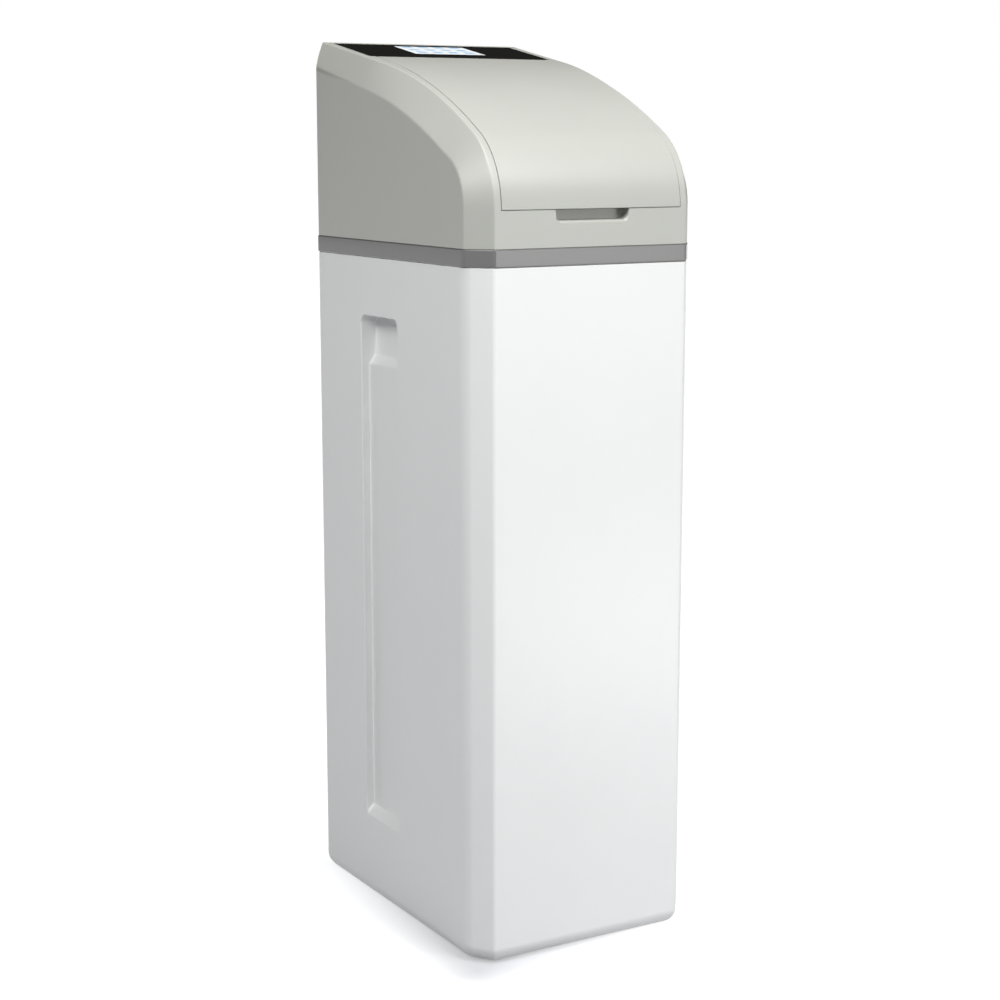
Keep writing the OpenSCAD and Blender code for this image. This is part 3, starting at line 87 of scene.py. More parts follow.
# The hood: rows across its shoulder bevel as shares of the width, steps round each arc, where
# along Y the bevel narrows and where its lower edge drops, and how far the crown's faces may lean
BEVEL_ROWS = (0.8, 0.65, 0.5, 0.35, 0.2, 0)
ARC_STEPS = 24
TAPER_SPAN = (-0.06, 0.13)
DROP_SPAN = (-0.18, -0.13)
CROWN_LEAN = 0.01

# Inside the hood: play round the recess and under the panel, and the seat's shift to the rear
RECESS_PLAY = 0.6 * MM
SEAT_PLAY = 0.1 * MM
SEAT_SHIFT = 1 * MM

# Sizes in the finishes: clouds of colour, bands of fibre, smears on gloss and the screen's tiles
CLOUD = 90 * MM
FIBRE = 43.4 * MM
SMEAR = 60 * MM
TILE_WIDTH = 24.4 * MM
TILE_HEIGHT = 22 * MM
TILE_GAP = 5 * MM
# Waves in a metre of a wave texture of scale 1, and how steeply the fibre bands are laid
WAVES = 20 / math.tau
FIBRE_LAY = 0.6
# What most of a noise's values lie between, and how far the gloss of a moulding drifts with it
NOISE_LOW, NOISE_HIGH = 0.2, 0.8
GLOSS_DRIFT = 0.03

# The lights: where each stands, what it is aimed at, and its width and height
LAMPS = {
    "key": ((0.5, -2.3, 2.9), (0.0, 0.0, 0.6), (1.6, 1.6)),
    "top": ((0.1, -0.8, 3.3), (0.0, 0.0, 0.9), (1.4, 1.4)),
    "fill": ((1.4, -2.8, 0.8), (0.0, 0.0, 0.4), (1.2, 1.2)),
    "foot": ((0.55, -1.0, 0.2), (0.0, 0.0, 0.15), (0.5, 0.3)),
    "side": ((-2.1, -1.1, 2.6), (0.0, 0.0, 0.7), (1.2, 1.2)),
}
SENSOR = 36

# The floor: half its width, the distance over which its painted shadow fades, and how much of the
# white glow is left beside the softener at the front left, at the rear and at the right, in that
# painted shadow
FLOOR_HALF = 30
PAINTED_SHADOW_FADE = (-0.01, 0.1)
WHITE_FRONT_LEFT = 0.34
WHITE_REAR = 0.8
WHITE_RIGHT = 1.0

# The dark wall that only reflections show: the parts of a direction over which it fades out
# towards the front, upwards, to the left and downwards, and how bright it is
WALL_FRONT = (0.15, 0.45)
WALL_TOP = (0.5, 0.75)
WALL_LEFT = (-0.5, -0.42)
WALL_FOOT = (-0.08, -0.045)
WALL_WHITE = 0.02


def linear(code):
    """An sRGB hex colour as linear red, green, blue and alpha."""
    parts = [int(code[i : i + 2], 16) / 255 for i in (0, 2, 4)]
    return [c / 12.92 if c <= 0.04045 else ((c + 0.055) / 1.055) ** 2.4 for c in parts] + [1.0]


def length(name, mm, description):
    """A length property, given in millimetres."""
    return bpy.props.FloatProperty(
        name=name, description=description, default=mm * MM, unit="LENGTH", precision=5
    )


def angle(name, degrees, description):
    """An angle property, given in degrees."""
    return bpy.props.FloatProperty(
        name=name, description=description, default=math.radians(degrees), subtype="ANGLE"
    )


def tint(name, code, description):
    """A colour property, given as an sRGB hex value."""
    return bpy.props.FloatVectorProperty(
        name=name,
        description=description,
        default=linear(code),
        size=4,
        min=0,
        max=1,
        subtype="COLOR",
    )


def level(name, value, description):
    """A plain number property."""
    return bpy.props.FloatProperty(name=name, description=description, default=value)


class CabinetSizes(bpy.types.PropertyGroup):
    """Sizes of the cabinet and its grips."""

    wall: length("Wall", 4, "Wall of the moulded cabinet")
    bevel_front: length("Bevel on the front", 25, "Front corner bevel along the front")
    bevel_side: length("Bevel on the side", 32, "Front corner bevel along the side")
    crease: length("Front crease", 3, "Rounding of the bevels' edges at the front")
    side_crease: length("Side crease", 11, "Rounding of the bevels' edges at the sides")
    foot: length("Foot rounding", 22, "Rounding of the bottom edge")
    rear: length("Rear rounding", 12, "Rounding of the upright rear edges")
    rim: length("Rim rounding", 1.6, "Rounding of the open rim")
    grip_front: length("Grip front", -16, "Y of the grip's front edge")
    grip_back: length("Grip back", 87, "Y of the grip's rear edge")
    grip_top: length("Grip top", 808, "Height of the grip's upper edge")
    hand_low: length("Hand pocket foot", 754, "Height of the hand pocket's lower end")
    ledge_low: length("Ledge foot", 742, "Height of the ledge's lower end")
    groove_low: length("Groove foot", 130, "Height where the groove begins to run out")
    grip_low: length("Grip foot", 118, "Height of the grip's lower edge")
    hand_depth: length("Hand depth", 23, "Depth of the hand pocket at its top")
    hand_foot: length("Hand foot depth", 22, "Depth of the hand pocket at its lower end")
    groove_depth: length("Groove depth", 12, "Depth of the long groove")
    grip_corner: length("Grip corners", 11, "Corner rounding of the grip's outline")
    grip_soft: length("Grip edges", 1.6, "Rounding of the grip's edges")


class HeadSizes(bpy.types.PropertyGroup):
    """Sizes of the band, the hood, the lid and the panel."""

    band_proud: length("Band proud", 0.8, "How far the band stands proud of the cabinet")
    band_wall: length("Band wall", 8, "Thickness of the band")
    band_edge: length("Band edge", 1.6, "Rounding of the band's edges")
    band_crease: length("Band crease", 5, "Rounding of the band's bevel edges at the sides")
    wall: length("Hood wall", 3, "Wall of the hood")
    nose_z: length("Nose height", 955, "Height where the upright front runs into the nose")
    nose_r: length("Nose radius", 106, "Radius of the nose")
    nose_slope: angle("Nose slope", 31, "Slope where the nose runs into the brow")
    brow_r: length("Brow radius", 735, "Radius of the long brow")
    top_slope: angle("Top slope", 10.5, "Slope of the flat top")
    crease: length("Top crease", 1.4, "Rounding of the shoulder bevels' upper edges")
    shoulder: length("Side crease", 2, "Rounding of the shoulder bevels' lower edges")
    taper: length("Shoulder taper", 10.5, "How much narrower the shoulder bevel is at the rear")
    drop: length("Shoulder drop", 4, "Drop of the shoulder bevel's lower edge behind the nose")
    rear_edge: length("Rear edge", 1.2, "Rounding of the upper rear edge")
    edge: length("Edge rounding", 0.6, "Rounding of the edges at openings")
    lid_half: length("Lid half width", 130, "Half the width of the lid")
    lid_gap: length("Lid gap", 0.6, "Gap around the lid")
    lid_low: length("Lid opening foot", 953, "Height of the lid opening's lower edge")
    lid_proud: length("Lid proud", 0.6, "How far the lid stands proud of the hood")
    lid_t: length("Lid thickness", 3, "Thickness of the lid")
    lid_run: length("Lid top run", 30, "Flat run of the top ahead of the panel")
    hinge_gap: length("Hinge gap", 2, "Gap between the lid's hinge edge and the panel's place")
    barrel_r: length("Barrel radius", 5.5, "Radius of the lid's hinge barrel")
    ledge_depth: length("Ledge depth", 3.4, "Depth of the ledge under the lid")
    ledge_w: length("Ledge width", 12, "Width of the ledge under the lid")
    ledge_t: length("Ledge thickness", 3, "Thickness of the ledge under the lid")
    lip_top: length("Lip top", 965, "Height of the lip behind the lid's lower edge")
    recess_half: length("Recess half width", 52.5, "Half the width of the finger recess")
    recess_low: length("Recess foot", 940, "Height of the finger recess's lower edge")
    recess_depth: length("Recess depth", 16, "Depth of the finger recess")
    recess_corner: length("Recess corners", 8, "Corner rounding of the finger recess")
    recess_rim: length("Recess rim", 4, "Rounding of the finger recess's rim")
    cutout_half: length("Cut-out half width", 108, "Half the width of the rear cut-out")
    cutout_top: length("Cut-out top", 1018, "Height of the rear cut-out")
    panel_half: length("Panel half width", 138.1, "Half the width of the display panel")
    panel_len: length("Panel length", 112, "Length of the panel's place along the slope")
    panel_t: length("Panel thickness", 3, "Thickness of the panel")
    panel_gap: length("Panel gap", 0.4, "Gap around the panel")
    panel_edge: length("Panel edge", 0.5, "Rounding of the panel's edges")
    window_half: length("Window half width", 54, "Half the width of the display window")
    window_from: length("Window start", 61, "Run where the display window begins")
    window_to: length("Window end", 127, "Run where the display window ends")


class FinishColours(bpy.types.PropertyGroup):
    """Colours of the finishes."""

    cabinet: tint("Cabinet", "EEEFEE", "White of the cabinet")
    hood: tint("Hood", "B0B1AA", "Warm grey of the hood and lid")
    band: tint("Band", "626361", "Grey of the band")
    panel: tint("Panel", "15140F", "Black print behind the panel")
    screen: tint("Screen", "F2F6F8", "Lit ground of the display")
    tiles: tint("Screen tiles", "A9CDEB", "Pale blue tiles of the display")


class StageSettings(bpy.types.PropertyGroup):
    """Camera and light."""

    camera_x: length("Camera X", -1383.6, "Place of the camera")
    camera_y: length("Camera Y", -2353.6, "Place of the camera")
    camera_z: length("Camera Z", 1043.7, "Place of the camera")
    turn: angle("Camera turn", 30.414, "Turn of the camera to the right of straight ahead")
    tilt: angle("Camera tilt", 10.12, "Tilt of the camera below the horizon")
    lens: level("Lens", 73.86, "Focal length for a 36 mm frame")
    ambient: level("Ambient", 0.16, "Level of the light from all round")
    key: level("Key light", 53.0, "Power of the large light high at the front, in watts")
    top: level("Top light", 28.5, "Power of the large light overhead, in watts")
    fill: level("Fill light", 9.0, "Power of the low light at the front right, in watts")
    foot: level("Foot light", 1.3, "Power of the small light low at the front, in watts")
    side: level("Side light", 47.0, "Power of the light at the left, in watts")


class SoftenerSettings(bpy.types.PropertyGroup):
    """All settings of the softener."""

    cabinet: bpy.props.PointerProperty(type=CabinetSizes)
    head: bpy.props.PointerProperty(type=HeadSizes)
    colours: bpy.props.PointerProperty(type=FinishColours)
    stage: bpy.props.PointerProperty(type=StageSettings)


def only(kind, geom):
    """The members of a list of mesh parts that are of one kind."""
    return [g for g in geom if isinstance(g, kind)]


def faces_where(bm, test):
    """Faces whose middle passes a test."""
    return [f for f in bm.faces if test(f.calc_center_median())]


def extrude(bm, edges, offset):
    """Extrudes edges by an offset and returns the new far edges."""
    made = bmesh.ops.extrude_edge_only(bm, edges=edges)["geom"]
    far = set(only(bmesh.types.BMVert, made))
    bmesh.ops.translate(bm, verts=list(far), vec=offset)
    return [e for e in only(bmesh.types.BMEdge, made) if set(e.verts) <= far]


def cut(bm, faces, at, across):
    """Cuts faces along a plane."""
    edges = dict.fromkeys(e for f in faces for e in f.edges)
    verts = dict.fromkeys(v for f in faces for v in f.verts)
    geom = [*faces, *edges, *verts]
    bmesh.ops.bisect_plane(bm, geom=geom, dist=TINY, plane_co=at, plane_no=across)


def soften(bm, geom, radius, segments, affect="EDGES"):
    """Rounds edges, or the corners of a chain of edges."""
    bmesh.ops.recalc_face_normals(bm, faces=bm.faces)
    bmesh.ops.bevel(
        bm,
        geom=list(geom),
        offset=radius,
        offset_type="OFFSET",
        segments=segments,
        profile=0.5,
        affect=affect,
        material=-1,
        clamp_overlap=False,
        loop_slide=True,
    )


def press(bm, faces, offset):
    """Presses faces in by an offset, with walls round them."""
    made = bmesh.ops.extrude_face_region(bm, geom=faces)["geom"]
    bmesh.ops.delete(bm, geom=faces, context="FACES")
    bmesh.ops.translate(bm, verts=only(bmesh.types.BMVert, made), vec=offset)


def sharp_edges(bm, degrees):
    """Edges between two faces that turn by more than an angle."""
    least = math.radians(degrees)
    return [e for e in bm.edges if e.is_manifold and e.calc_face_angle() > least]


def place(name, bm, body, nodes, finishes, crisp=50):
    """Makes a piece of a mesh, puts it on its body and lets it stand for its nodes.

    Edges that turn by more than the crisp angle, in degrees, shade sharp.
    """
    bmesh.ops.remove_doubles(bm, verts=bm.verts, dist=TINY / 10)
    bmesh.ops.recalc_face_normals(bm, faces=bm.faces)
    mesh = bpy.data.meshes.new(name)
    bm.to_mesh(mesh)
    bm.free()
    for finish in finishes:
        mesh.materials.append(finish)
    mesh.shade_smooth()
    mesh.set_sharp_from_angle(angle=math.radians(crisp))
    piece = bpy.data.objects.new(name, mesh)
    bpy.context.scene.collection.objects.link(piece)
    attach(piece, body)
    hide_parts(*nodes)
    return piece


def thicken(piece, wall):
    """Gives a shell its wall, inwards."""
    solid = piece.modifiers.new("Wall", "SOLIDIFY")
    solid.thickness = wall
    solid.offset = -1
    solid.use_even_offset = True
    solid.use_quality_normals = True


def round_rims(piece, radius):
    """Rounds what edges are still square."""
    bevel = piece.modifiers.new("Rims", "BEVEL")
    bevel.width = radius
    bevel.segments = 2
    bevel.use_clamp_overlap = False
    bevel.limit_method = "ANGLE"
    bevel.angle_limit = math.radians(SQUARE_TURN)


def even_shading(piece):
    """Lets the flats shade flat up to their rounded edges."""
    piece.modifiers.new("Shading", "WEIGHTED_NORMAL").keep_sharp = True


def bevelled_plan(bm, z, half, crease, front, corner, back):
    """A level face with bevelled front corners."""
    right = [(crease, front), (half, corner), (half, back)]
    plan = [(-crease, front), *right, (-half, back), (-half, corner)]
    return bm.faces.new([bm.verts.new((x, y, z)) for x, y in plan])


def cabinet_shell(c):
    """Outer skin of the cabinet, open at the rim."""
    bm = bmesh.new()
    crease = HALF - c.bevel_front
    floor = bevelled_plan(bm, 0, HALF, crease, FRONT, FRONT + c.bevel_side, BACK)
    foot = list(floor.edges)
    extrude(bm, foot, (0, 0, RIM))
    soften(bm, foot, c.foot, segments=8)
    uprights = [
        e
        for e in sharp_edges(bm, FOOT_TURN)
        if abs(e.verts[0].co.z - e.verts[1].co.z) > TINY
    ]
    edge = FRONT + c.bevel_side / 2
    front = [e for e in uprights if e.verts[0].co.y < 0 and e.verts[1].co.y < edge]
    soften(bm, front, c.crease, segments=3)
    sides = [e for e in uprights if e.is_valid and edge < e.verts[1].co.y < 0]
    soften(bm, sides, c.side_crease, segments=5)
    rear = [e for e in uprights if e.is_valid and e.verts[0].co.y > 0]
    soften(bm, rear, c.rear, segments=6)
    for side in (-1, 1):
        press_grip(bm, c, side)
    return bm


def grip_depth(c, z):
    """Depth of a grip at a height."""
    if z >= c.hand_low:
        share = (z - c.hand_low) / (c.grip_top - c.hand_low)
        return c.hand_foot + share * (c.hand_depth - c.hand_foot)
    if z >= c.ledge_low:
        share = (z - c.ledge_low) / (c.hand_low - c.ledge_low)
        return c.groove_depth + share * (c.hand_foot - c.groove_depth)
    return c.groove_depth * min(1, max(0, (z - c.grip_low) / (c.groove_low - c.grip_low)))


def press_grip(bm, c, side):
    """Presses a grip and its long groove into one side of the cabinet."""
    wall = side * HALF
    floor = side * (HALF - c.hand_depth)

    def on_wall(p):
        return abs(p.x - wall) < TINY

    def beside(p):
        return on_wall(p) and c.grip_front < p.y < c.grip_back

    def on_floor(p):
        return abs(p.x - floor) < TINY

    for y in (c.grip_front, c.grip_back):
        cut(bm, faces_where(bm, on_wall), (0, y, 0), (0, 1, 0))
    for z in (c.grip_low, c.grip_top):
        cut(bm, faces_where(bm, beside), (0, 0, z), (0, 0, 1))
    window = faces_where(bm, lambda p: beside(p) and c.grip_low < p.z < c.grip_top)
    press(bm, window, (floor - wall, 0, 0))
    corners = [
        e
        for e in bm.edges
        if abs(e.verts[0].co.x - e.verts[1].co.x) > TINY
        and all(min(abs(v.co.x - wall), abs(v.co.x - floor)) < TINY for v in e.verts)
        and all(min(abs(v.co.y - c.grip_front), abs(v.co.y - c.grip_back)) < TINY for v in e.verts)
    ]
    soften(bm, corners, c.grip_corner, segments=6)
    for z in (c.hand_low, c.ledge_low, c.groove_low):
        cut(bm, faces_where(bm, on_floor), (0, 0, z), (0, 0, 1))
    deep = {v for f in faces_where(bm, on_floor) for v in f.verts}
    for v in deep:
        v.co.x = side * (HALF - grip_depth(c, v.co.z))
    bmesh.ops.remove_doubles(bm, verts=bm.verts, dist=TINY)
    soft = [
        e
        for e in sharp_edges(bm, GRIP_TURN)
        if all(
            side * v.co.x > HALF - c.hand_depth - TINY
            and c.grip_front - TINY < v.co.y < c.grip_back + TINY
            and v.co.z > c.groove_low - TINY
            for v in e.verts
        )
        and not all(abs(v.co.z - c.groove_low) < TINY for v in e.verts)
    ]
    soften(bm, soft, c.grip_soft, segments=4)


def band_shell(c, h):
    """Outer skin of the band between cabinet and hood."""
    bm = bmesh.new()
    out = h.band_proud
    crease = HALF - c.bevel_front + out * FRONT_MITRE
    corner = FRONT + c.bevel_side - out * SIDE_MITRE
    ring = bevelled_plan(bm, RIM, HALF + out, crease, FRONT - out, corner, BACK + out)
    edges = list(ring.edges)
    bmesh.ops.delete(bm, geom=[ring], context="FACES_ONLY")
    extrude(bm, edges, (0, 0, HOOD_FOOT - RIM))
    uprights = [e for e in bm.edges if not e.is_boundary]
    soften(bm, [e for e in uprights if e.verts[0].co.y < FRONT], c.crease, segments=3)
    sides = [e for e in uprights if e.is_valid and FRONT < e.verts[0].co.y < 0]
    soften(bm, sides, h.band_crease, segments=4)
    rear = [e for e in uprights if e.is_valid and e.verts[0].co.y > BACK]
    soften(bm, rear, c.rear, segments=6)
    return bm


class HeadPath:
    """The head's outline from the side, as a path for sweeping: front, nose, brow and flat top."""

    def __init__(self, h):
        self.nose = Vector((0, FRONT + h.nose_r, h.nose_z))
        self.brow = self.nose - self.normal(h.nose_slope) * (h.brow_r - h.nose_r)
        self.top = self.brow + self.normal(h.top_slope) * h.brow_r
        self.along = Vector((0, math.cos(h.top_slope), math.sin(h.top_slope)))
        self.out = self.normal(h.top_slope)
        self.nose_turn = math.pi / 2 - h.nose_slope
        self.brow_turn = h.nose_slope - h.top_slope

    @staticmethod
    def normal(slope):
        """Direction out of a surface of that slope."""
        return Vector((0, -math.sin(slope), math.cos(slope)))

    def on_top(self, run, depth=0.0):
        """Point on the flat top, a depth below it."""
        return self.top + self.along * run - self.out * depth

    def run_of(self, p):
        """Run along the flat top of a point."""
        return (p - self.top).dot(self.along)

    def frame(self):
        """Matrix that lays X, run and height above the flat top into place."""
        across = Vector((1, 0, 0))
        turn = Matrix((across, self.along, self.out)).transposed().to_4x4()
        return Matrix.Translation(self.top) @ turn

    @staticmethod
    def start(bm, section, foot, closed=False):
        """A section of X and depth as a chain of edges at a foot height."""
        verts = [bm.verts.new((x, FRONT + depth, foot)) for x, depth in section]
        ends = verts[1:] + verts[:1] if closed else verts[1:]
        return [bm.edges.new(pair) for pair in zip(verts, ends)]

    def sweep(self, bm, edges, run):
        """Sweeps a chain of edges from its foot over the head up to a run."""
        foot = edges[0].verts[0].co.z
        edges = extrude(bm, edges, (0, 0, self.nose.z - foot))
        for centre, turn in ((self.nose, self.nose_turn), (self.brow, self.brow_turn)):
            spun = bmesh.ops.spin(
                bm,
                geom=edges,
                cent=centre,
                axis=(-1, 0, 0),
                angle=turn,
                steps=ARC_STEPS,
                use_duplicate=False,
            )
            edges = only(bmesh.types.BMEdge, spun["geom_last"])
        return extrude(bm, edges, self.along * run)


def rear_end(c, x):
    """Y of the rear wall at an X, round its upright corners."""
    over = max(0.0, abs(x) - HALF + c.rear)
    return BACK - c.rear + math.sqrt(max(0.0, c.rear**2 - over**2))


def rise(value, low, high):
    """Smooth rise from 0 at a low value to 1 at a high one."""
    share = min(1.0, max(0.0, (value - low) / (high - low)))
    return share * share * (3 - 2 * share)


def taper_shoulder(bm, c, h):
    """Narrows the shoulder bevels towards the rear and lowers their lower edges."""
    crease = HALF - c.bevel_front
    for v in bm.verts:
        share = min(1.0, max(0.0, (abs(v.co.x) - crease) / c.bevel_front))
        out = h.taper * (1 - share) * rise(v.co.y, *TAPER_SPAN)
        v.co.x += math.copysign(out, v.co.x)
        v.co.z -= h.drop * share * rise(v.co.y, *DROP_SPAN)


def hood_start(bm, c, h, path):
    """The hood's section at its foot, with rounded creases, as a chain of edges."""
    crease = HALF - c.bevel_front
    half = [(HALF, 2 * c.bevel_side), (HALF, c.bevel_side)]
    half += [(crease + row * c.bevel_front, row * c.bevel_side) for row in BEVEL_ROWS]
    path.start(bm, [(-x, depth) for x, depth in half] + half[::-1], HOOD_FOOT)
    for at, depth, radius in ((HALF, c.bevel_side, h.shoulder), (crease, 0.0, h.crease)):
        corners = [
            v
            for v in bm.verts
            if abs(abs(v.co.x) - at) < TINY and abs(v.co.y - FRONT - depth) < TINY
        ]
        soften(bm, corners, radius, segments=4, affect="VERTICES")
    ends = [v for v in bm.verts if v.co.y > FRONT + 2 * c.bevel_side - TINY]
    bmesh.ops.delete(bm, geom=ends, context="VERTS")
    return list(bm.edges)


def hood_shell(c, h, path):
    """Outer skin of the hood with its openings and finger recess."""
    bm = bmesh.new()
    far = path.sweep(bm, hood_start(bm, c, h, path), BACK)
    taper_shoulder(bm, c, h)
    for v in {v for e in far for v in e.verts}:
        v.co += path.along * ((rear_end(c, v.co.x) - v.co.y) / path.along.y)
    for v in {v for e in extrude(bm, far, (0, 0, -HOOD_FOOT)) for v in e.verts}:
        v.co.z = HOOD_FOOT
    for side in (-1, 1):
        open_edges = [e for e in bm.edges if e.is_boundary]
        edge = [e for e in open_edges if all(abs(v.co.x - side * HALF) < TINY for v in e.verts)]
        feet = [v for v in {v for e in edge for v in e.verts} if abs(v.co.z - HOOD_FOOT) < TINY]
        bmesh.ops.contextual_create(bm, geom=edge + [bm.edges.new(feet)])
    bmesh.ops.recalc_face_normals(bm, faces=bm.faces)
    soften(bm, sharp_edges(bm, REAR_TURN), h.rear_edge, segments=3)
    press_recess(bm, h)
    cut_head_openings(bm, h, path)
    return bm


def press_recess(bm, h):
    """Presses the finger recess into the hood's front.

    It runs on above the lid's edge, to be cut off there.
    """
    high = h.lid_low + 1.5 * h.recess_corner

    def in_front(p):
        return p.y < FRONT + h.recess_depth / 2 and p.z < h.lid_low + 3 * h.recess_corner

    def between(p):
        return in_front(p) and abs(p.x) < h.recess_half

    for x in (h.recess_half, -h.recess_half):
        cut(bm, faces_where(bm, in_front), (x, 0, 0), (1, 0, 0))
    for z in (h.recess_low, high):
        cut(bm, faces_where(bm, between), (0, 0, z), (0, 0, 1))
    window = faces_where(bm, lambda p: between(p) and h.recess_low < p.z < high)
    press(bm, window, (0, h.recess_depth, 0))

    def at_corner(p):
        return abs(p.z - h.recess_low) < TINY and abs(abs(p.x) - h.recess_half) < TINY

    corners = [
        e
        for e in bm.edges
        if all(at_corner(v.co) for v in e.verts)
        and abs(e.verts[0].co.y - e.verts[1].co.y) > h.recess_depth / 2
    ]
    soften(bm, corners, h.recess_corner, segments=6)
    rim = [
        e
        for e in sharp_edges(bm, RECESS_TURN)
        if all(in_front(v.co) and abs(v.co.x) < h.recess_half + TINY for v in e.verts)
    ]
    soften(bm, rim, h.recess_rim, segments=4)


def cut_head_openings(bm, h, path):
    """Opens the hood for the lid, the panel and the pipes at the rear."""
    lid = h.lid_half + h.lid_gap
    panel = h.panel_half + h.panel_gap
    panel_end = h.lid_run + h.panel_len

    def crown():
        level_faces = [f for f in bm.faces if abs(f.normal.x) < CROWN_LEAN]
        return [f for f in level_faces if f.calc_center_median().y < BACK - h.wall]

    for x in (lid, -lid, panel, -panel):
        cut(bm, crown(), (x, 0, 0), (1, 0, 0))
    front = faces_where(bm, lambda p: abs(p.x) < lid and p.y < FRONT + 2 * h.recess_depth)
    cut(bm, front, (0, 0, h.lid_low), (0, 0, 1))
    for run in (h.lid_run, panel_end):
        cut(bm, crown(), path.on_top(run), path.along)

    def open_here(p):
        run = path.run_of(p)
        under_lid = abs(p.x) < lid and p.z > h.lid_low and run < h.lid_run
        return under_lid or (abs(p.x) < panel and h.lid_run < run < panel_end and p.z > path.top.z)

    bmesh.ops.delete(bm, geom=faces_where(bm, open_here), context="FACES")

    def at_rear(p):
        return abs(p.y - BACK) < TINY

    for x in (h.cutout_half, -h.cutout_half):
        cut(bm, faces_where(bm, at_rear), (x, 0, 0), (1, 0, 0))
    cut(bm, faces_where(bm, at_rear), (0, 0, h.cutout_top), (0, 0, 1))

    def in_cutout(p):
        return at_rear(p) and abs(p.x) < h.cutout_half and p.z < h.cutout_top

    bmesh.ops.delete(bm, geom=faces_where(bm, in_cutout), context="FACES")


def hood_inside(h, path):
    """Ledges under the lid, the lip behind its lower edge and the panel's seat."""
    bm = bmesh.new()
    outer = h.lid_half + h.lid_gap + h.wall
    inner = h.lid_half + h.lid_gap - h.ledge_w
    low = h.ledge_depth + h.ledge_t
    end = h.lid_run - h.hinge_gap - 2 * h.barrel_r - h.ledge_t
    section = [(inner, h.ledge_depth), (outer, h.ledge_depth), (outer, low), (inner, low)]
    for side in (-1, 1):
        ledge = [(side * x, depth) for x, depth in section]
        last = path.sweep(bm, path.start(bm, ledge, h.lip_top - h.recess_depth, closed=True), end)
        bmesh.ops.contextual_create(bm, geom=last)
    bmesh.ops.holes_fill(bm, edges=[e for e in bm.edges if e.is_boundary], sides=4)
    notch = h.recess_half + RECESS_PLAY
    jog = h.recess_depth + RECESS_PLAY
    wall = h.ledge_t
    plan = [
        (-outer, h.ledge_depth),
        (-notch, h.ledge_depth),
        (-notch, jog),
        (notch, jog),
        (notch, h.ledge_depth),
        (outer, h.ledge_depth),
        (outer, low),
        (notch + wall, low),
        (notch + wall, jog + wall),
        (-notch - wall, jog + wall),
        (-notch - wall, low),
        (-outer, low),
    ]
    foot = h.recess_low + h.recess_rim
    lip = bm.faces.new([bm.verts.new((x, FRONT + depth, foot)) for x, depth in plan])
    made = bmesh.ops.extrude_face_region(bm, geom=[lip], use_keep_orig=True)["geom"]
    bmesh.ops.translate(bm, verts=only(bmesh.types.BMVert, made), vec=(0, 0, h.lip_top - foot))
    seat = bmesh.ops.create_cube(bm, size=1)["verts"]
    seat_len = h.panel_len + h.panel_gap
    bmesh.ops.scale(bm, verts=seat, vec=(2 * h.panel_half, seat_len, h.wall))
    run = h.lid_run + h.panel_len / 2 + SEAT_SHIFT
    mid = Vector((0, run, -h.panel_t - h.wall / 2 - SEAT_PLAY))
    bmesh.ops.transform(bm, verts=seat, matrix=path.frame() @ Matrix.Translation(mid))
    return bm


def lid_shell(h, path):
    """Outer skin of the lid."""
    bm = bmesh.new()
    edge = [(-h.lid_half, -h.lid_proud), (h.lid_half, -h.lid_proud)]
    start = path.start(bm, edge, h.lid_low + h.lid_gap)
    path.sweep(bm, start, h.lid_run - h.hinge_gap - h.barrel_r)
    return bm


def lid_barrel(h, path):
    """Hinge barrel along the lid's upper edge."""
    bm = bmesh.new()
    made = bmesh.ops.create_cone(
        bm,
        cap_ends=True,
        segments=40,
        radius1=h.barrel_r,
        radius2=h.barrel_r,
        depth=2 * h.lid_half,
    )
    at = path.on_top(h.lid_run - h.hinge_gap - h.barrel_r, h.barrel_r - h.lid_proud)
    turn = Matrix.Translation(at) @ Matrix.Rotation(math.pi / 2, 4, "Y")
    bmesh.ops.transform(bm, verts=made["verts"], matrix=turn)
    soften(bm, sharp_edges(bm, SQUARE_TURN), h.edge, segments=2)
    return bm


def panel_plate(h, path):
    """Display panel with its window marked as a second finish."""
    bm = bmesh.new()
    verts = bmesh.ops.create_cube(bm, size=1)["verts"]
    run = h.panel_len - 2 * h.panel_gap
    bmesh.ops.scale(bm, verts=verts, vec=(2 * h.panel_half, run, h.panel_t))
    bmesh.ops.translate(bm, verts=verts, vec=(0, h.lid_run + h.panel_len / 2, -h.panel_t / 2))
    soften(bm, list(bm.edges), h.panel_edge, segments=2)

    def on_face(p):
        return abs(p.z) < TINY

    for x in (h.window_half, -h.window_half):
        cut(bm, faces_where(bm, on_face), (x, 0, 0), (1, 0, 0))
    for y in (h.window_from, h.window_to):
        cut(bm, faces_where(bm, on_face), (0, y, 0), (0, 1, 0))
    for f in faces_where(bm, on_face):
        p = f.calc_center_median()
        if abs(p.x) < h.window_half and h.window_from < p.y < h.window_to:
            f.material_index = 1
    bmesh.ops.transform(bm, verts=bm.verts, matrix=path.frame())
    return bm


def add(tree, kind, inputs=None, **settings):
    """Adds a node with its settings, and sets or links its inputs."""
    node = tree.nodes.new(kind)
    for name, value in settings.items():
        setattr(node, name, value)
    for name, value in (inputs or {}).items():
        if isinstance(value, bpy.types.NodeSocket):
            tree.links.new(value, node.inputs[name])
        else:
            node.inputs[name].default_value = value
    return node


def new_finish(name):
    """An empty material and its node tree."""
    finish = bpy.data.materials.new(name)
    finish.use_nodes = True
    finish.node_tree.nodes.clear()
    return finish, finish.node_tree


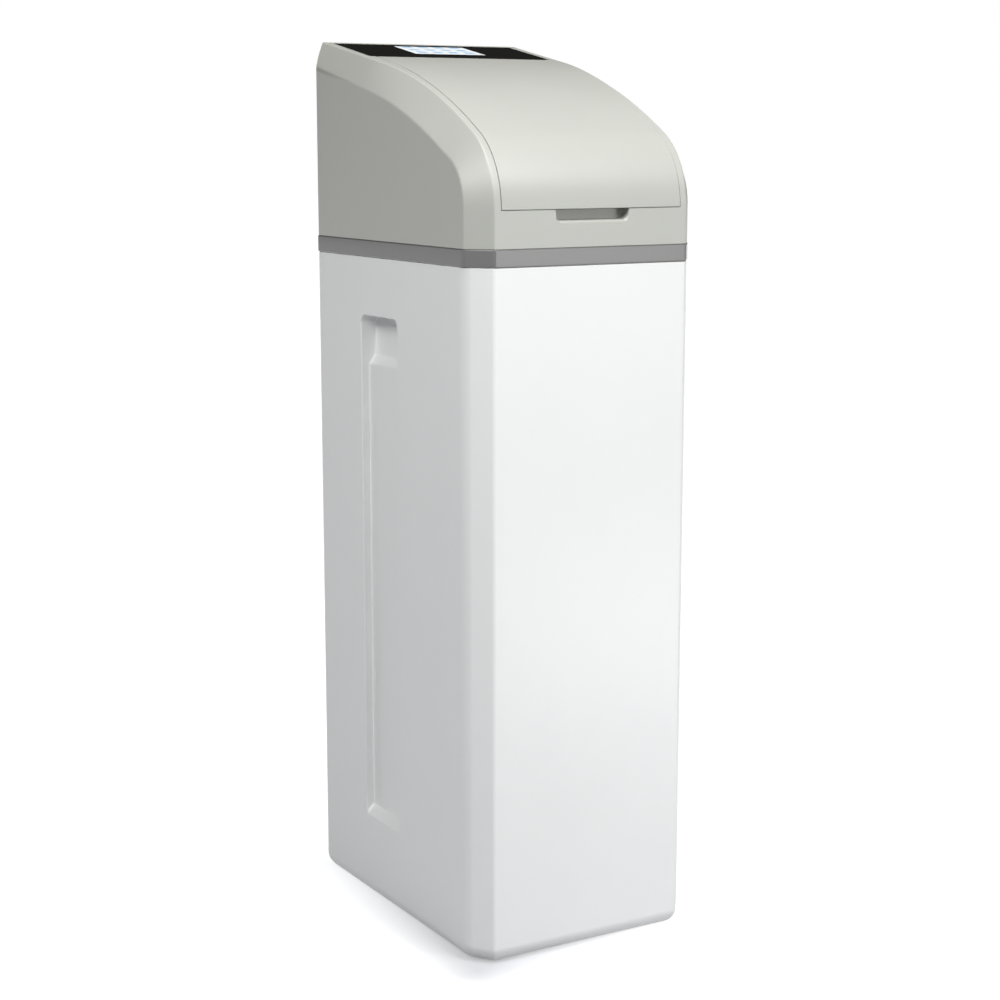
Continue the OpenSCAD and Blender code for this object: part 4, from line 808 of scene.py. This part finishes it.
def moulded_plastic(name, colour, rough, grain=1.6, relief=0.02, drift=0.03, ior=1.5, coat=0.0):
    """Injection or rotational moulding: one even colour with faint clouds, and a fine satin grain.

    The grain and its relief are in millimetres. The real grain of about 0.3 mm is too fine to
    show, so it is drawn coarser.
    """
    finish, tree = new_finish(name)
    at = add(tree, "ShaderNodeTexCoord").outputs["Object"]
    clouds = add(tree, "ShaderNodeTexNoise", {"Vector": at, "Scale": 1 / CLOUD, "Detail": 3.0})
    shade = add(
        tree,
        "ShaderNodeMapRange",
        {
            "Value": clouds.outputs["Fac"],
            "From Min": NOISE_LOW,
            "From Max": NOISE_HIGH,
            "To Min": 1 - drift,
            "To Max": 1.0,
        },
        interpolation_type="SMOOTHSTEP",
    )
    tone = add(
        tree,
        "ShaderNodeMix",
        {0: 1.0, 6: list(colour), 7: shade.outputs["Result"]},
        data_type="RGBA",
        blend_type="MULTIPLY",
    )
    gloss = add(
        tree,
        "ShaderNodeMapRange",
        {
            "Value": clouds.outputs["Fac"],
            "To Min": rough - GLOSS_DRIFT,
            "To Max": rough + GLOSS_DRIFT,
        },
    )
    grit = add(
        tree, "ShaderNodeTexNoise", {"Vector": at, "Scale": 1 / (grain * MM), "Detail": 2.0}
    )
    bump = add(
        tree,
        "ShaderNodeBump",
        {"Height": grit.outputs["Fac"], "Distance": relief * MM, "Strength": 0.5},
    )
    shader = add(
        tree,
        "ShaderNodeBsdfPrincipled",
        {
            "Base Color": tone.outputs[2],
            "Roughness": gloss.outputs["Result"],
            "Normal": bump.outputs["Normal"],
            "IOR": ior,
            "Coat Weight": coat,
            "Coat Roughness": 0.12,
        },
    )
    add(tree, "ShaderNodeOutputMaterial", {"Surface": shader.outputs["BSDF"]})
    return finish


def metal(name, colour, rough, grain, stretch=(1, 1, 1)):
    """Plated or machined metal: a clear metallic sheen broken by fine marks.

    The grain of the marks is in millimetres, and the stretch packs them closer along an axis.
    """
    finish, tree = new_finish(name)
    at = add(tree, "ShaderNodeTexCoord").outputs["Object"]
    turned = add(tree, "ShaderNodeMapping", {"Vector": at, "Scale": stretch})
    marks = add(
        tree,
        "ShaderNodeTexNoise",
        {"Vector": turned.outputs["Vector"], "Scale": 1 / (grain * MM), "Detail": 4.0},
    )
    gloss = add(
        tree,
        "ShaderNodeMapRange",
        {"Value": marks.outputs["Fac"], "To Min": rough - 0.1, "To Max": rough + 0.12},
    )
    bump = add(
        tree,
        "ShaderNodeBump",
        {"Height": marks.outputs["Fac"], "Distance": 0.02 * MM, "Strength": 0.4},
    )
    shader = add(
        tree,
        "ShaderNodeBsdfPrincipled",
        {
            "Base Color": list(colour),
            "Metallic": 1.0,
            "Roughness": gloss.outputs["Result"],
            "Normal": bump.outputs["Normal"],
        },
    )
    add(tree, "ShaderNodeOutputMaterial", {"Surface": shader.outputs["BSDF"]})
    return finish


def wound_fibre(name, colour):
    """Filament-wound vessel: glossy resin over crossing bands of fibre, seen as faint stripes."""
    finish, tree = new_finish(name)
    at = add(tree, "ShaderNodeTexCoord").outputs["Object"]
    stripes = []
    for turn in (FIBRE_LAY, -FIBRE_LAY):
        laid = add(tree, "ShaderNodeMapping", {"Vector": at, "Rotation": (0.0, turn, 0.0)})
        wave = add(
            tree,
            "ShaderNodeTexWave",
            {
                "Vector": laid.outputs["Vector"],
                "Scale": 1 / (FIBRE * WAVES),
                "Distortion": 1.5,
                "Detail": 3.0,
            },
            bands_direction="Z",
        )
        stripes.append(wave.outputs["Fac"])
    cross = add(tree, "ShaderNodeMath", {0: stripes[0], 1: stripes[1]}, operation="MULTIPLY")
    shade = add(
        tree,
        "ShaderNodeMapRange",
        {"Value": cross.outputs["Value"], "To Min": 0.82, "To Max": 1.0},
    )
    tone = add(
        tree,
        "ShaderNodeMix",
        {0: 1.0, 6: list(colour), 7: shade.outputs["Result"]},
        data_type="RGBA",
        blend_type="MULTIPLY",
    )
    bump = add(
        tree,
        "ShaderNodeBump",
        {"Height": cross.outputs["Value"], "Distance": 0.2 * MM, "Strength": 0.5},
    )
    shader = add(
        tree,
        "ShaderNodeBsdfPrincipled",
        {
            "Base Color": tone.outputs[2],
            "Roughness": 0.32,
            "Normal": bump.outputs["Normal"],
            "Coat Weight": 0.4,
            "Coat Roughness": 0.1,
        },
    )
    add(tree, "ShaderNodeOutputMaterial", {"Surface": shader.outputs["BSDF"]})
    return finish


def printed_glass(name, colour):
    """Gloss panel printed black on its rear: deep, almost colourless, with clear reflections."""
    finish, tree = new_finish(name)
    at = add(tree, "ShaderNodeTexCoord").outputs["Object"]
    smear = add(tree, "ShaderNodeTexNoise", {"Vector": at, "Scale": 1 / SMEAR, "Detail": 4.0})
    gloss = add(
        tree,
        "ShaderNodeMapRange",
        {"Value": smear.outputs["Fac"], "To Min": 0.05, "To Max": 0.13},
    )
    shade = add(
        tree,
        "ShaderNodeMapRange",
        {"Value": smear.outputs["Fac"], "To Min": 0.85, "To Max": 1.0},
    )
    tone = add(
        tree,
        "ShaderNodeMix",
        {0: 1.0, 6: list(colour), 7: shade.outputs["Result"]},
        data_type="RGBA",
        blend_type="MULTIPLY",
    )
    shader = add(
        tree,
        "ShaderNodeBsdfPrincipled",
        {"Base Color": tone.outputs[2], "Roughness": gloss.outputs["Result"], "IOR": 1.49},
    )
    add(tree, "ShaderNodeOutputMaterial", {"Surface": shader.outputs["BSDF"]})
    return finish


def lit_screen(name, ground, tiles, path):
    """Backlit display under the panel: a pale lit ground with plain blue tiles."""
    finish, tree = new_finish(name)
    at = add(tree, "ShaderNodeTexCoord").outputs["Object"]
    slope = math.atan2(path.along.z, path.along.y)
    laid = add(
        tree,
        "ShaderNodeMapping",
        {"Vector": at, "Location": path.on_top(0.0), "Rotation": (slope, 0.0, 0.0)},
        vector_type="TEXTURE",
    )
    grid = add(
        tree,
        "ShaderNodeTexBrick",
        {
            "Vector": laid.outputs["Vector"],
            "Color1": list(tiles),
            "Color2": [0.75 * a + 0.25 * b for a, b in zip(tiles, ground)],
            "Mortar": list(ground),
            "Scale": 1.0,
            "Mortar Size": TILE_GAP,
            "Mortar Smooth": 0.1,
            "Brick Width": TILE_WIDTH,
            "Row Height": TILE_HEIGHT,
        },
        offset=0.0,
    )
    shader = add(
        tree,
        "ShaderNodeBsdfPrincipled",
        {
            "Base Color": grid.outputs["Color"],
            "Roughness": 0.08,
            "IOR": 1.49,
            "Emission Color": grid.outputs["Color"],
            "Emission Strength": 0.35,
        },
    )
    add(tree, "ShaderNodeOutputMaterial", {"Surface": shader.outputs["BSDF"]})
    return finish


def make_finishes(colours, path):
    """One finish for each material slot of the record."""
    plastic = moulded_plastic
    return {
        # Polyethylene, moulded in one piece: clean cool white with a soft satin sheen
        "cabinet_white": plastic(
            "moulded_polyethylene_white", colours.cabinet, 0.32, drift=0.015, ior=1.52
        ),
        # ABS, injection moulded: warm light grey with broad, soft highlights
        "hood_grey": plastic(
            "moulded_abs_light_grey", colours.hood, 0.36, grain=1.2, drift=0.015, ior=1.75
        ),
        # ABS from a polished mould: mid grey with a clear sheen that faint waves break up
        "band_grey": plastic(
            "moulded_abs_mid_grey", colours.band, 0.2, grain=14, relief=0.12, ior=1.75
        ),
        # Acrylic printed on its rear: deep black under clear gloss
        "panel_black": printed_glass("back_printed_acrylic", colours.panel),
        # Display behind the acrylic: pale, and lit a little by itself
        "display_glass": lit_screen("backlit_display", colours.screen, colours.tiles, path),
        # Solder mask over the board: green lacquer under a thin gloss
        "board_green": plastic(
            "solder_mask_green", linear("1C5A34"), 0.4, grain=3, relief=0.05, coat=0.4
        ),
        # ABS from an etched mould: dull charcoal
        "housing_dark": plastic("moulded_abs_charcoal", linear("2F3234"), 0.5),
        # Steel, zinc plated: cool and bright with fine marks
        "steel": metal("zinc_plated_steel", linear("C9CACB"), 0.34, 2),
        # Rubber, moulded: black and matt with hardly a highlight
        "black_rubber": plastic(
            "moulded_rubber_black", linear("222222"), 0.68, grain=1, relief=0.06
        ),
        # Glass fibre wound in resin: blue with faint crossing stripes under gloss
        "vessel_blue": wound_fibre("wound_glass_fibre_blue", linear("2C5590")),
        # Polyethylene, moulded: black with a dull waxy sheen
        "base_black": plastic("moulded_polyethylene_black", linear("262626"), 0.55),
        # Resin beads in a bed: amber, uneven and grainy
        "resin_amber": plastic(
            "resin_beads_amber", linear("B5701E"), 0.35, grain=0.8, relief=0.4, drift=0.4
        ),
        # ABS without pigment: plain ivory
        "ivory_plastic": plastic("moulded_abs_natural", linear("DDD6C2"), 0.42),
        # Glass-filled polymer, moulded: black with a slightly rough skin
        "valve_black": plastic("glass_filled_moulding_black", linear("2B2D2F"), 0.46, relief=0.05),
        # Ceramic, lapped: white and nearly polished, without grain
        "ceramic_white": plastic("lapped_ceramic", linear("EDECE6"), 0.12, relief=0.0, ior=1.7),
        # Acetal, moulded: milky white and smooth
        "gear_acetal": plastic("moulded_acetal", linear("E6E2D6"), 0.3, ior=1.48),
        # Brass, turned: yellow metal with marks round its axis
        "pinion_brass": metal("machined_brass", linear("C9A24D"), 0.28, 1.2, (1, 1, 8)),
        # Steel can, drawn and plated: grey metal with faint lines round it
        "motor_steel": metal("zinc_plated_can", linear("B9BBBD"), 0.4, 2, (1, 1, 6)),
        # ABS, moulded: strong red with a soft gloss
        "nozzle_red": plastic("moulded_abs_red", linear("B5261F"), 0.32),
        # Acetal, moulded: strong blue with a soft gloss
        "turbine_blue": plastic("moulded_acetal_blue", linear("2C4FA8"), 0.32),
        # Nylon, moulded: satin blue and satin red for the two bypass knobs
        "knob_blue": plastic("moulded_nylon_blue", linear("1F4E9C"), 0.38),
        "knob_red": plastic("moulded_nylon_red", linear("B3241E"), 0.38),
        # Polyethylene, extruded: cloudy white, glossier on the thin tube than on the well
        "tube_white": plastic("extruded_polyethylene_tube", linear("E3E6E5"), 0.3, drift=0.05),
        "well_white": plastic("extruded_polyethylene_well", linear("E0E2E1"), 0.4, drift=0.05),
        # Polyethylene, blow moulded: orange with a satin skin and uneven colour
        "float_orange": plastic("blow_moulded_orange", linear("E07A1F"), 0.42, drift=0.08),
    }


FINISHES = {}


def settings():
    """The softener's settings."""
    return bpy.context.scene.softener


class SOFTENER_OT_finishes(bpy.types.Operator):
    """Makes the finishes and gives each of the frame's pieces its own"""

    bl_idname = "softener.finishes"
    bl_label = "Finishes"

    def execute(self, context):
        s = settings()
        FINISHES.update(make_finishes(s.colours, HeadPath(s.head)))
        for part in frame["record"]["subparts"]:
            mesh = frame["nodes"][part["node"]].data
            mesh.materials.clear()
            mesh.materials.append(FINISHES[part["material_slot"]])
        return {"FINISHED"}


class SOFTENER_OT_cabinet(bpy.types.Operator):
    """Moulds the cabinet with its side grips"""

    bl_idname = "softener.cabinet"
    bl_label = "Cabinet"

    def execute(self, context):
        c = settings().cabinet
        finish = [FINISHES["cabinet_white"]]
        shell = cabinet_shell(c)
        piece = place(
            "cabinet_moulding", shell, "cabinet", ["cabinet"], finish, crisp=25
        )
        thicken(piece, c.wall)
        round_rims(piece, c.rim)
        even_shading(piece)
        return {"FINISHED"}


class SOFTENER_OT_band(bpy.types.Operator):
    """Makes the band between cabinet and hood"""

    bl_idname = "softener.band"
    bl_label = "Band"

    def execute(self, context):
        s = settings()
        finish = [FINISHES["band_grey"]]
        shell = band_shell(s.cabinet, s.head)
        piece = place("band_moulding", shell, "cabinet", ["collar_band"], finish)
        thicken(piece, s.head.band_wall)
        round_rims(piece, s.head.band_edge)
        even_shading(piece)
        return {"FINISHED"}


class SOFTENER_OT_hood(bpy.types.Operator):
    """Moulds the hood, with the ledges and the seat inside it"""

    bl_idname = "softener.hood"
    bl_label = "Hood"

    def execute(self, context):
        s = settings()
        path = HeadPath(s.head)
        finish = [FINISHES["hood_grey"]]
        shell = hood_shell(s.cabinet, s.head, path)
        piece = place("hood_moulding", shell, "cabinet", ["hood"], finish)
        thicken(piece, s.head.wall)
        round_rims(piece, s.head.edge)
        even_shading(piece)
        ledges = hood_inside(s.head, path)
        inside = place("hood_ledges", ledges, "cabinet", ["hood"], finish)
        even_shading(inside)
        return {"FINISHED"}


class SOFTENER_OT_lid(bpy.types.Operator):
    """Moulds the salt lid with its hinge barrel"""

    bl_idname = "softener.lid"
    bl_label = "Salt lid"

    def execute(self, context):
        h = settings().head
        path = HeadPath(h)
        finish = [FINISHES["hood_grey"]]
        piece = place("lid_moulding", lid_shell(h, path), "lid", ["salt_lid"], finish)
        thicken(piece, h.lid_t)
        round_rims(piece, h.edge)
        even_shading(piece)
        barrel = place("lid_barrel", lid_barrel(h, path), "lid", ["salt_lid"], finish)
        even_shading(barrel)
        return {"FINISHED"}


class SOFTENER_OT_panel(bpy.types.Operator):
    """Makes the display panel with its lit window"""

    bl_idname = "softener.panel"
    bl_label = "Display panel"

    def execute(self, context):
        h = settings().head
        plate = panel_plate(h, HeadPath(h))
        finish = [FINISHES["panel_black"], FINISHES["display_glass"]]
        piece = place("display_panel", plate, "cabinet", ["panel_glass"], finish)
        even_shading(piece)
        return {"FINISHED"}


class SOFTENER_OT_stage(bpy.types.Operator):
    """Sets the floor, the light and the camera"""

    bl_idname = "softener.stage"
    bl_label = "Stage"

    def execute(self, context):
        s = settings().stage
        scene = context.scene
        scene.view_settings.view_transform = "Standard"
        make_floor()
        make_world(s)
        for name, (at, to, size) in LAMPS.items():
            soft_light(f"{name}_light", at, to, size, getattr(s, name))
        lens = bpy.data.cameras.new("camera")
        lens.sensor_width = SENSOR
        lens.lens = s.lens
        camera = bpy.data.objects.new("camera", lens)
        camera.location = (s.camera_x, s.camera_y, s.camera_z)
        camera.rotation_euler = (math.pi / 2 - s.tilt, 0, -s.turn)
        scene.collection.objects.link(camera)
        scene.camera = camera
        return {"FINISHED"}


def seen_directly(tree, ray):
    """One for rays that show the background: from the camera, by reflection or through glass."""
    seen = ray.outputs["Is Camera Ray"]
    for kind in ("Is Glossy Ray", "Is Transmission Ray"):
        either = add(tree, "ShaderNodeMath", {0: seen, 1: ray.outputs[kind]}, operation="MAXIMUM")
        seen = either.outputs["Value"]
    return seen


def make_floor():
    """A white floor that stays white to the eye, with the softener's real shadow and a painted
    shadow round its foot.
    """
    bm = bmesh.new()
    bmesh.ops.create_grid(bm, x_segments=1, y_segments=1, size=FLOOR_HALF)
    mesh = bpy.data.meshes.new("floor")
    bm.to_mesh(mesh)
    bm.free()
    floor = bpy.data.objects.new("floor", mesh)
    bpy.context.scene.collection.objects.link(floor)
    mesh.materials.append(white_paper())


def white_paper():
    """Matt paper lifted to white by a glow; near the softener the glow is less, a painted shadow
    deepest at its front left.
    """
    finish, tree = new_finish("white_paper")
    seen = seen_directly(tree, add(tree, "ShaderNodeLightPath"))
    at = add(tree, "ShaderNodeTexCoord").outputs["Object"]
    # Distance from the softener's footprint, over which the painted shadow fades out
    away = add(tree, "ShaderNodeVectorMath", {0: at}, operation="ABSOLUTE").outputs["Vector"]
    for operation, other in (("SUBTRACT", (HALF, BACK, 0)), ("MAXIMUM", (0, 0, 0))):
        step = add(tree, "ShaderNodeVectorMath", {0: away, 1: other}, operation=operation)
        away = step.outputs["Vector"]
    away = add(tree, "ShaderNodeVectorMath", {0: away}, operation="LENGTH").outputs["Value"]
    spot = add(tree, "ShaderNodeSeparateXYZ", {"Vector": at})
    # Painted shadow: how low the glow goes beside the softener, lowest at the front left, higher
    # towards the rear and the right
    whites = [
        add(
            tree,
            "ShaderNodeMapRange",
            {
                "Value": spot.outputs[axis],
                "From Min": low,
                "From Max": high,
                "To Min": WHITE_FRONT_LEFT,
                "To Max": white,
            },
        ).outputs["Result"]
        for axis, low, high, white in (
            ("Y", FRONT, BACK, WHITE_REAR),
            ("X", -HALF, HALF, WHITE_RIGHT),
        )
    ]
    least = add(tree, "ShaderNodeMath", {0: whites[0], 1: whites[1]}, operation="MAXIMUM")
    lift = add(
        tree,
        "ShaderNodeMapRange",
        {
            "Value": away,
            "From Min": PAINTED_SHADOW_FADE[0],
            "From Max": PAINTED_SHADOW_FADE[1],
            "To Min": least.outputs["Value"],
            "To Max": 1.0,
        },
        interpolation_type="SMOOTHSTEP",
    )
    glow = add(tree, "ShaderNodeMath", {0: lift.outputs["Result"], 1: seen}, operation="MULTIPLY")
    paper = add(tree, "ShaderNodeBsdfDiffuse", {"Color": linear("A0A2A6")})
    light = add(
        tree, "ShaderNodeEmission", {"Color": linear("FFFFFF"), "Strength": glow.outputs["Value"]}
    )
    both = add(
        tree, "ShaderNodeAddShader", {0: paper.outputs["BSDF"], 1: light.outputs["Emission"]}
    )
    add(tree, "ShaderNodeOutputMaterial", {"Surface": both.outputs["Shader"]})
    return finish


def make_world(s):
    """Even light from all round, a white background, and a dark wall behind for reflections."""
    world = bpy.data.worlds.new("studio")
    bpy.context.scene.world = world
    world.use_nodes = True
    tree = world.node_tree
    tree.nodes.clear()
    ray = add(tree, "ShaderNodeLightPath")
    seen = seen_directly(tree, ray)
    around = add(tree, "ShaderNodeTexCoord").outputs["Generated"]
    way = add(tree, "ShaderNodeSeparateXYZ", {"Vector": around})
    wall = ray.outputs["Is Glossy Ray"]
    for axis, (low, high), (start, end) in (
        ("Y", WALL_FRONT, (0.0, 1.0)),
        ("Z", WALL_TOP, (1.0, 0.0)),
        ("X", WALL_LEFT, (0.0, 1.0)),
        ("Z", WALL_FOOT, (0.0, 1.0)),
    ):
        fade = add(
            tree,
            "ShaderNodeMapRange",
            {
                "Value": way.outputs[axis],
                "From Min": low,
                "From Max": high,
                "To Min": start,
                "To Max": end,
            },
        )
        inputs = {0: wall, 1: fade.outputs["Result"]}
        wall = add(tree, "ShaderNodeMath", inputs, operation="MULTIPLY").outputs["Value"]
    strength = add(
        tree, "ShaderNodeMapRange", {"Value": seen, "To Min": s.ambient, "To Max": 1.0}
    )
    dimmed = add(
        tree,
        "ShaderNodeMapRange",
        {"Value": wall, "To Min": strength.outputs["Result"], "To Max": WALL_WHITE},
    )
    back = add(
        tree,
        "ShaderNodeBackground",
        {"Color": linear("FFFFFF"), "Strength": dimmed.outputs["Result"]},
    )
    add(tree, "ShaderNodeOutputWorld", {"Surface": back.outputs["Background"]})


def soft_light(name, at, to, size, watts):
    """A large soft light aimed at a point."""
    light = bpy.data.lights.new(name, "AREA")
    light.shape = "RECTANGLE"
    light.size, light.size_y = size
    light.energy = watts
    lamp = bpy.data.objects.new(name, light)
    lamp.location = at
    lamp.rotation_euler = (Vector(to) - Vector(at)).to_track_quat("-Z", "Y").to_euler()
    bpy.context.scene.collection.objects.link(lamp)


class SOFTENER_PT_pieces(bpy.types.Panel):
    """Lists the softener's pieces and their sizes"""

    bl_idname = "SOFTENER_PT_pieces"
    bl_label = "Cabinet water softener"
    bl_space_type = "VIEW_3D"
    bl_region_type = "UI"
    bl_category = "Softener"

    def draw(self, context):
        layout = self.layout
        for maker in MAKERS:
            layout.operator(maker.bl_idname)
        s = context.scene.softener
        for group in (s.cabinet, s.head, s.colours, s.stage):
            box = layout.box()
            for name in group.__annotations__:
                box.prop(group, name)


GROUPS = (CabinetSizes, HeadSizes, FinishColours, StageSettings, SoftenerSettings)
MAKERS = (
    SOFTENER_OT_finishes,
    SOFTENER_OT_cabinet,
    SOFTENER_OT_band,
    SOFTENER_OT_hood,
    SOFTENER_OT_lid,
    SOFTENER_OT_panel,
    SOFTENER_OT_stage,
)
CLASSES = (*GROUPS, *MAKERS, SOFTENER_PT_pieces)


def register():
    """Registers the classes and the settings."""
    for cls in CLASSES:
        bpy.utils.register_class(cls)
    bpy.types.Scene.softener = bpy.props.PointerProperty(type=SoftenerSettings)


def unregister():
    """Removes the settings and the classes."""
    del bpy.types.Scene.softener
    for cls in reversed(CLASSES):
        bpy.utils.unregister_class(cls)


def main():
    """Builds every piece and the stage."""
    register()
    bpy.ops.softener.finishes()
    bpy.ops.softener.cabinet()
    bpy.ops.softener.band()
    bpy.ops.softener.hood()
    bpy.ops.softener.lid()
    bpy.ops.softener.panel()
    bpy.ops.softener.stage()


if __name__ == "__main__":
    main()
